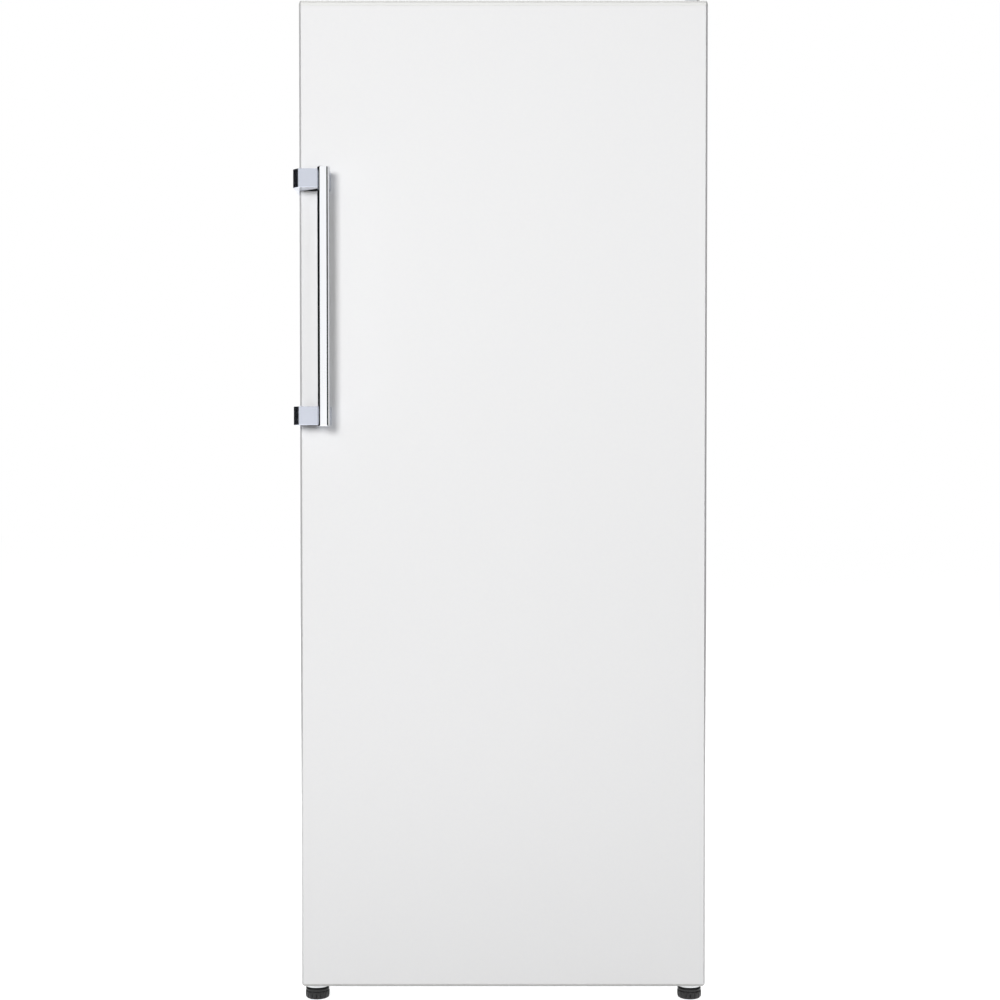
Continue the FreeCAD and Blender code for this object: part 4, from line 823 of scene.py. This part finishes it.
edge = edge_bends(0, FACE_BEND, SIDE_BEND)
inner_edge = edge_bends(SHEET, INNER_FACE_BEND, INNER_SIDE_BEND)
fold_outline = rounded(both_sides(edge + [
    (door_half, door_rear, REAR_BEND), (door_half - REAR_FOLD, door_rear, 0),
    (door_half - REAR_FOLD, door_rear - SHEET, 0), (door_half - SHEET, door_rear - SHEET, 0),
    inner_edge[1], inner_edge[0]]), 8)
BOTTOM_RIM, TOP_RIM = 0.0042, 0.0085
sheet_ends = (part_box("door_bottom_cap")[0].z + BOTTOM_RIM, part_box("door_top_cap")[1].z - TOP_RIM)
piece("door_front_sheet", extruded(fold_outline, *sheet_ends), enamel,
      ["door_skin"], "door",
      ease=0.0003, ease_steps=2)

BUSH_SPOT = (0.279, -0.265)
PLUG_INSET, SIDE_DRAFT, REAR_SHARE = SHEET + 0.0001, 0.0012, 0.06
SPARE_PLUG = metres((0.1, 0.4), (4.5, 0.4), (6.2, 0.2), (6.6, -0.4))
CAPS = (
    # end, which way is inward, rim height, depth of its slope, share of the rim that is upright
    ("bottom", 1, BOTTOM_RIM, 0.0034, 0.03),
    ("top", -1, TOP_RIM, 0.0068, 0.47),
)
for end, inward, cap_rim, slope_depth, upright in CAPS:
    low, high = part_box("door_%s_cap" % end)
    outside, root = (low.z, high.z) if inward > 0 else (high.z, low.z)
    seam = outside + inward * cap_rim
    rim_outline = rounded(both_sides(edge + [(high.x, high.y, REAR_BEND)]), 8)
    plug_corner = (high.x - PLUG_INSET, high.y - PLUG_INSET, 0)
    plug_outline = rounded(both_sides(inner_edge + [plug_corner]))
    rim_rings = []
    for rise, lean in ((0, 0), (upright * 0.9, 0), (upright, 0), (upright + 0.05, 0.03),
                       (0.96, 0.93), (1, 1)):
        level = seam + (outside - seam) * rise
        ring = []
        for u, v in rim_outline:
            share = max(REAR_SHARE, 1 - (v - door_face) / FLANK_DEPTH)
            ring.append((
                u * (1 - lean * SIDE_DRAFT / door_half), v + lean * slope_depth * share, level))
        rim_rings.append(ring)
    plug = extruded(plug_outline, *sorted((seam, root)))
    piece("door_%s_moulding" % end, merged(lofted(rim_rings), plug), abs_plastic,
          ["door_%s_cap" % end], "door", crease=50)
    form = turned([(radius, -inward * height) for radius, height in SPARE_PLUG],
                  (-BUSH_SPOT[0], BUSH_SPOT[1], outside + inward * SPARE_PLUG[0][1]), steps=36)
    piece("spare_hole_plug_" + end, form, abs_plastic, body="door")


# ---- Door liner, racks and rails ----
# The door's inner face is vacuum formed in one: a raised dyke that keeps the cold in, with
# five racks drawn into it. A clip-in rail across each rack holds the packs.

PANEL_Y, DYKE_TIP, RACK_BACK = -0.242, -0.150, -0.254
PANEL_HALF, PANEL_LOW, PANEL_HIGH = 0.299, 0.034, 1.470
DYKE_HALF, RACK_HALF = 0.215, 0.190
DYKE_LOW, DYKE_HIGH, ROOT_LOW, ROOT_HIGH = 0.1188, 1.4072, 0.110, 1.416
RACK_BASE, RACK_PITCH, RACK_LEDGE, RACKS = 0.140, 0.245, 0.014, 5
RACK_CHAMFER = 0.014
DYKE_RADIUS, RACK_LIP_RADIUS, RACK_INNER_RADIUS, DYKE_ROOT_RADIUS = 0.005, 0.0035, 0.005, 0.006

liner_points, liner_faces = [], []


def corner_at(x, y, z):
    """The cage's corner at a spot, made when it is first asked for."""
    spot = (round(x, 6), round(y, 6), round(z, 6))
    if spot not in liner_points:
        liner_points.append(spot)
    return liner_points.index(spot)


def face_of(*spots):
    liner_faces.append(tuple(corner_at(*spot) for spot in spots))


columns = [-DYKE_HALF, -RACK_HALF, RACK_HALF, DYKE_HALF]
rows = [DYKE_LOW]
for rack in range(RACKS):
    rows += [RACK_BASE + RACK_PITCH * rack, RACK_BASE + RACK_PITCH * (rack + 1) - RACK_LEDGE]
rows.append(DYKE_HIGH)
for row, (low, high) in enumerate(zip(rows, rows[1:])):
    for column, (left, right) in enumerate(zip(columns, columns[1:])):
        if column == 1 and row % 2 == 1:
            continue
        face_of((left, DYKE_TIP, low), (left, DYKE_TIP, high), (right, DYKE_TIP, high),
                (right, DYKE_TIP, low))
    if row % 2 == 1:
        deep = RACK_HALF - RACK_CHAMFER
        section = [
            (-RACK_HALF, DYKE_TIP), (-RACK_HALF, PANEL_Y), (-deep, RACK_BACK), (deep, RACK_BACK),
            (RACK_HALF, PANEL_Y), (RACK_HALF, DYKE_TIP)]
        for (x, y), (x_next, y_next) in zip(section, section[1:]):
            face_of((x, y, low), (x, y, high), (x_next, y_next, high), (x_next, y_next, low))
        face_of(*[(x, y, low) for x, y in section])
        face_of(*[(x, y, high) for x, y in reversed(section)])

face_of(*[(x, DYKE_TIP, DYKE_LOW) for x in columns],
        *[(x, PANEL_Y, ROOT_LOW) for x in (DYKE_HALF, -DYKE_HALF)])
face_of(*[(x, PANEL_Y, ROOT_HIGH) for x in (-DYKE_HALF, DYKE_HALF)],
        *[(x, DYKE_TIP, DYKE_HIGH) for x in reversed(columns)])
for side in (-1, 1):
    rim_line = [(side * DYKE_HALF, PANEL_Y, ROOT_LOW)]
    rim_line += [(side * DYKE_HALF, DYKE_TIP, z) for z in rows]
    rim_line += [(side * DYKE_HALF, PANEL_Y, ROOT_HIGH)]
    face_of(*(rim_line if side > 0 else reversed(rim_line)))
outer, inner = [
    [(-half, base), (half, base), (half, crown), (-half, crown)]
    for half, base,
    crown in ((PANEL_HALF, PANEL_LOW, PANEL_HIGH), (DYKE_HALF, ROOT_LOW, ROOT_HIGH))]
for index in range(4):
    ahead = (index + 1) % 4
    face_of(*[(u, PANEL_Y, v) for u, v in (inner[index], inner[ahead], outer[ahead], outer[index])])


def door_liner_radius(middle, along):
    """Round shoulders on the dyke, small lips on the racks, none on seams of flat faces."""
    lengthwise, upright = abs(along.x) > 0.5, abs(along.z) > 0.5
    on_dyke_side = abs(abs(middle.x) - DYKE_HALF) < NEAR
    if middle.y < PANEL_Y + NEAR / 2 and abs(along.y) < 0.5:
        if abs(middle.x) > DYKE_HALF + NEAR or not ROOT_LOW - NEAR < middle.z < ROOT_HIGH + NEAR:
            return 0.0
        on_root = on_dyke_side or min(abs(middle.z - ROOT_LOW), abs(middle.z - ROOT_HIGH)) < NEAR
        return DYKE_ROOT_RADIUS if on_root else RACK_INNER_RADIUS
    if on_dyke_side:
        return DYKE_RADIUS
    if middle.y > DYKE_TIP - NEAR / 2:
        if lengthwise and min(abs(middle.z - DYKE_LOW), abs(middle.z - DYKE_HIGH)) < NEAR / 2:
            return DYKE_RADIUS
        flush = lengthwise and abs(middle.x) > RACK_HALF + NEAR
        beside_rack = any(low < middle.z < high for low, high in zip(rows[1::2], rows[2::2]))
        between = upright and abs(abs(middle.x) - RACK_HALF) < NEAR and not beside_rack
        return 0.0 if flush or between else RACK_LIP_RADIUS
    return RACK_INNER_RADIUS


mould("door_liner_sheet", (liner_points, liner_faces), door_liner_radius, polystyrene,
      ["door_liner"],
      "door", steps=4)

# Clear-toned acrylic is common, but this kind's rails are white like the liner.
RAIL_THICKNESS, RAIL_BEAD, RAIL_ARM = 0.0022, 0.0042, 0.009
RAIL_CORNER, RAIL_INNER_CORNER, BAND_STEP = 0.0028, 0.0008, 0.0006
LOWER_BEAD, UPPER_BEAD, BAND_LAP = 0.0038, 0.0048, 0.0035


def hooked(low, high, thick):
    """A rail's plan: a strip with a short arm back at each end."""
    front, back = high.y, high.y - RAIL_ARM
    return rounded([
        (low.x, back, 0), (low.x, front, RAIL_CORNER), (high.x, front, RAIL_CORNER),
        (high.x, back, 0),
        (high.x - thick, back, 0), (high.x - thick, front - thick, RAIL_INNER_CORNER),
        (low.x + thick, front - thick, RAIL_INNER_CORNER), (low.x + thick, back, 0)], 6)


for node in sorted(name for name in nodes if name.startswith("rack_rail")):
    low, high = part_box(node)
    bead = hooked(low, high, RAIL_BEAD)
    band = [(u * (1 - BAND_STEP / high.x), v - BAND_STEP if v > high.y - 0.003 else v)
            for u, v in hooked(low, high, RAIL_THICKNESS)]
    forms = [extruded(band, low.z + BAND_LAP, high.z - BAND_LAP),
             extruded(bead, low.z, low.z + LOWER_BEAD),
             extruded(bead, high.z - UPPER_BEAD, high.z)]
    piece(node.replace("rack_rail", "pack_rail"), merged(*forms), abs_plastic,
          [node], "door",
          ease=0.0009, ease_steps=3)


# ---- Door gasket ----
# A magnetic strip in a sleeve of flexible PVC, joined by a bellows to a flat dart that is
# pushed into the door. It is cut at the corners and welded on the slant.

# Flexible PVC: off-white and waxy, duller than the liner beside it.
soft_pvc = finish_of("white_flexible_pvc", 25, 3.0, "#D2D3D3", "#DEDFDE", 0.55, more={
    "IOR": 1.52, "Subsurface Weight": 0.05, "Subsurface Radius": (0.002, 0.002, 0.002)})

seal_low, seal_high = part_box("door_gasket")
SEAL_WIDTH = 0.022
# Half of its section, as inset and height: the flat, the bellows' waist and the magnet's sleeve.
half_seal = metres(
    (0.6, 0), (0, 0.8), (0.8, 1.8), (3, 2.4), (6.2, 2.6), (7.4, 3.4), (6.6, 4.6), (4.8, 5.5),
    (3.8, 6.8),
    (3.4, 8.5), (3.6, 10.3), (4.4, 11.3), (6, 11.7))
seal_rings = []
for inset, rise in half_seal + [(SEAL_WIDTH - inset, rise) for inset, rise in reversed(half_seal)]:
    left, right = seal_low.x + inset, seal_high.x - inset
    low, high = seal_low.z + inset, seal_high.z - inset
    around = ((left, low), (right, low), (right, high), (left, high))
    seal_rings.append([(x, door_rear + rise, z) for x, z in around])
seal_form = lofted(seal_rings + seal_rings[:1], capped=False)
piece("door_seal", seal_form, soft_pvc, ["door_gasket"], "door", crease=62)


# ---- Handle ----
# A chromed steel bar held between two die-cast end blocks with a silver lacquer. The blocks
# sit on the door's face and lap its edge, where their screws go in from the side.

# Bright chrome plate: a near-perfect mirror, faintly blue, with hairline wiping marks. Its
# near-black specular tint is painted shade: it darkens what the bar reflects towards its edges.
WIPED_UPWARD = (1.0, 1.0, 0.06)
chrome = finish_of("polished_chrome_plate", 1.5, 3.0, "#F3F5F9", "#FBFCFE", (0.05, 0.11),
                   more={"Metallic": 1.0, "Specular Tint": (0.08, 0.09, 0.1, 1.0)},
                   stretch=WIPED_UPWARD)

# Silver lacquer on zinc die casting: a fine even sparkle, cool grey, half as sharp as chrome.
lacquer = finish_of("silver_lacquered_die_casting", 0.9, 2.0, "#C9CEDA", "#D6DAE5", 0.26,
                    (0.2, 0.00004), {"Metallic": 1.0, "Coat Weight": 0.3, "Coat Roughness": 0.12})

bar_low, bar_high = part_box("handle_bar")
bar_x, bar_y = (bar_low.x + bar_high.x) / 2, (bar_low.y + bar_high.y) / 2
bar_radius = (bar_high.x - bar_low.x) / 2
BAR_END, BAR_END_STEPS = 0.0012, 6
bar_profile = [(0.0002, bar_low.z)]
for step in range(BAR_END_STEPS + 1):
    lean = math.radians(90 * step / BAR_END_STEPS)
    inset, rise = BAR_END * (1 - math.sin(lean)), BAR_END * (1 - math.cos(lean))
    bar_profile.append((bar_radius - inset, bar_low.z + rise))
bar_profile += way_back(bar_profile, (bar_low.z + bar_high.z) / 2)
piece("handle_tube", turned(bar_profile, (bar_x, bar_y, 0), steps=96), chrome,
      ["handle_bar"], "door", crease=60)

BLOCK_CHAMFER_X, BLOCK_CHAMFER_Y, BLOCK_LAP = 0.0088, 0.011, 0.007
BLOCK_CREST = door_face - 0.041
(face_x, face_y, _), (side_x, side_y, _) = edge
for end in ("upper", "lower"):
    node = "handle_block_" + end
    low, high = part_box(node)
    outline = rounded([
        (-face_x, face_y, 0), (-side_x, side_y, 0), (-door_half, high.y, 0.0006),
        (low.x, high.y, 0.0012),
        (low.x, BLOCK_CREST + BLOCK_CHAMFER_Y, 0.006),
        (low.x + BLOCK_CHAMFER_X, BLOCK_CREST, 0.004),
        (bar_x + BLOCK_LAP, BLOCK_CREST, 0.0006), (bar_x + BLOCK_LAP, door_face, 0)], 8)
    piece("handle_end_" + end, extruded(outline, low.z, high.z), lacquer, [node],
          "door",
          ease=0.0009, ease_steps=3, crease=35)


# ---- Compressor ----
# Two deep-drawn steel cups welded at a flange and baked black. A plate under it stands on
# four rubber grommets, bolted down, and a moulded box on its side covers the start switch.

# Baked black enamel over drawn steel: half gloss, with the slow waves of sprayed paint.
black_enamel = finish_of("baked_black_enamel", 6, 2.0, "#121314", "#202123", 0.3, (0.25, 0.0002))

# Nitrile rubber: dull black with a grey bloom in patches.
rubber = finish_of("black_nitrile_rubber", 5, 3.0, "#141414", "#2A2A2A", 0.75)

COMPRESSOR = (0.030, 0.243)
SHELL_PROFILE = metres(
    (1, 60.5), (46, 60.5), (56, 62.2), (63, 66.5), (68.2, 73.5), (71, 84.5), (72, 96), (72, 131.8),
    (73.2, 132.8), (76, 133.1), (76, 136.4), (73.2, 136.7), (72, 137.8), (72, 182), (71.2, 188),
    (68.5, 196),
    (63, 204), (55, 211), (45, 216.2), (28, 220), (1, 220.5))
piece("compressor_can", turned(SHELL_PROFILE, (*COMPRESSOR, 0), steps=96), black_enamel,
      ["compressor_shell"], crease=50)
eased("compressor_base", "compressor_feet", black_enamel, 0.0006)

GROMMET_WAIST = (0.0098, 0.053)
MOUNT_X, MOUNT_Y = 0.078, 0.045
grommet = metres((4.5, 48), (10.8, 48), (11.8, 48.6), (11.9, 49.8), (11, 50.6), (10, 51.2))
grommet += [GROMMET_WAIST] + way_back(grommet, GROMMET_WAIST[1])
mounts = [(COMPRESSOR[0] + x * MOUNT_X, COMPRESSOR[1] + y * MOUNT_Y, 0) for x, y in QUARTERS]
piece("compressor_mounts", merged(*[turned(grommet, mount, steps=40) for mount in mounts]), rubber,
      ["compressor_grommets"], crease=50)
refinish(zinc, "compressor_bolts")
eased("start_switch_cover", "terminal_cover", polypropylene, 0.0015, 3)


# ---- Condenser and refrigerant tubes ----
# A steel tube runs to and fro up the back with wires welded to both of its faces, baked
# black. Copper tubes, brazed on, join it through a filter to the compressor.

CONDENSER_Y, CONDENSER_TUBE, CONDENSER_WIRE = 0.343, 0.005, 0.0016
CONDENSER_LOW, CONDENSER_PITCH, CONDENSER_RUNS = 0.330, 0.096, 11
BEND_X, FEED_X, RISER_X = 0.243, -0.222, 0.262
RISER_END, OUTLET_END, DRYER_Y = 0.263, 0.290, 0.301
CORNER_BEND, OUTLET_BEND, WIRE_OVERHANG = 0.034, 0.012, 0.022
crest = CONDENSER_LOW + CONDENSER_PITCH * (CONDENSER_RUNS - 1)
start = (0, CONDENSER_Y, CONDENSER_LOW)
route = [start]
for run in range(CONDENSER_RUNS):
    level = CONDENSER_LOW + CONDENSER_PITCH * run
    side = 1 if run % 2 == 0 else -1
    if run > 0:
        route.append((-side * BEND_X, CONDENSER_Y, level))
    if run < CONDENSER_RUNS - 1:
        route.append((side * BEND_X, CONDENSER_Y, level))
route += [(RISER_X, CONDENSER_Y, crest), (RISER_X, CONDENSER_Y, RISER_END)]
feed = [(FEED_X, CONDENSER_Y, OUTLET_END), (FEED_X, CONDENSER_Y, CONDENSER_LOW), start]
grid = [(bent(feed, CORNER_BEND) + bent(route, CONDENSER_PITCH / 2 - 0.0001, 10), CONDENSER_TUBE)]
BACK_WIRES, BACK_WIRE_PITCH = 15, 0.030
lift = (CONDENSER_TUBE + CONDENSER_WIRE) / 2
for index in range(BACK_WIRES):
    x = BACK_WIRE_PITCH * (index - (BACK_WIRES - 1) / 2)
    for x, y in ((x, CONDENSER_Y + lift), (x + BACK_WIRE_PITCH / 2, CONDENSER_Y - lift)):
        if x < BACK_WIRE_PITCH * BACK_WIRES / 2 - 0.001:
            ends = [(x, y, CONDENSER_LOW - WIRE_OVERHANG), (x, y, crest + WIRE_OVERHANG)]
            grid.append((ends, CONDENSER_WIRE))
wirework("condenser_grid", grid, black_enamel, ["condenser"])
outlet = [(FEED_X, DRYER_Y, 0.190), (FEED_X, DRYER_Y, 0.205), (FEED_X, CONDENSER_Y, 0.226), feed[0]]
wirework("condenser_outlet", [(bent(outlet, OUTLET_BEND), CONDENSER_TUBE)], black_enamel,
         ["condenser_outlet_tube"])

STANDOFF_X, STANDOFF_HALF, FLARE, ARM = 0.187, 0.005, 0.012, 0.0065
bracket_low, bracket_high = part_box("condenser_brackets")
half_standoff = [(panel_rear, FLARE, 0.0006), (panel_rear + 0.003, FLARE, 0.001),
                 (panel_rear + 0.005, ARM, 0.002),
                 (bracket_high.y, ARM, 0.002)]
standoffs = []
for level in (bracket_low.z + FLARE, bracket_high.z - FLARE):
    lower = [(y, level - out, bend) for y, out, bend in half_standoff]
    upper = [(y, level + out, bend) for y, out, bend in reversed(half_standoff)]
    for x in (-STANDOFF_X, STANDOFF_X):
        standoffs.append(extruded(
            rounded(lower + upper, 4), x - STANDOFF_HALF, x + STANDOFF_HALF, "x"))
piece("condenser_standoffs", merged(*standoffs), polypropylene,
      ["condenser_brackets"],
      ease=0.0005)

# Drawn copper: salmon where it was wiped, browner where the flame and air have touched it.
copper = finish_of("drawn_copper_tube", 22, 4.0, "#8E5236", "#D58F6C", (0.42, 0.24),
                   more={"Metallic": 1.0})

HOT_BEND, COLD_BEND, COLD_TUBE = 0.0155, 0.0135, 0.007
hot_line = [(0.090, 0.267, 0.150), (0.202, 0.267, 0.150), (0.202, 0.297, 0.182),
            (RISER_X, CONDENSER_Y, 0.222),
            (RISER_X, CONDENSER_Y, RISER_END)]
wirework("hot_gas_line", [(bent(hot_line, HOT_BEND), CONDENSER_TUBE)], copper,
         ["discharge_tube"])
cold_line = [(-0.018, 0.267, 0.176), (-0.070, 0.297, 0.176), (-0.070, 0.297, 0.241)]
wirework("return_gas_line", [(bent(cold_line, COLD_BEND), COLD_TUBE)], copper,
         ["suction_tube"])
DRYER_MIDDLE = 0.137
capsule = metres(
    (0.6, 84), (3.2, 84.2), (3.2, 90.5), (3.8, 92.5), (6.5, 96), (8.8, 99.5), (9.5, 103))
capsule += way_back(capsule, DRYER_MIDDLE)
piece("filter_capsule", turned(capsule, (FEED_X, DRYER_Y, 0), steps=48), copper,
      ["filter_dryer"],
      crease=50)

GLAND_PROFILE = metres(
    (3.7, -5), (5.8, -5), (5.9, -0.4), (5.9, 0), (7.8, 0), (8.4, 0.8), (8.2, 2.2), (7, 3.7),
    (5.5, 4), (4, 3.8), (3.7, 3.2))
gland_low, gland_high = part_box("cord_gland")
gland_x, gland_z = (gland_low.x + gland_high.x) / 2, (gland_low.z + gland_high.z) / 2
size = 40
corners, faces = turned(GLAND_PROFILE, (gland_x, gland_high.y - 0.004, gland_z), "y", steps=size)
last = (len(GLAND_PROFILE) - 1) * size
faces = faces[:-2] + [(last + i, last + (i + 1) % size, (i + 1) % size, i) for i in range(size)]
piece("cord_inlet_bush", (corners, faces), polypropylene, ["cord_gland"])
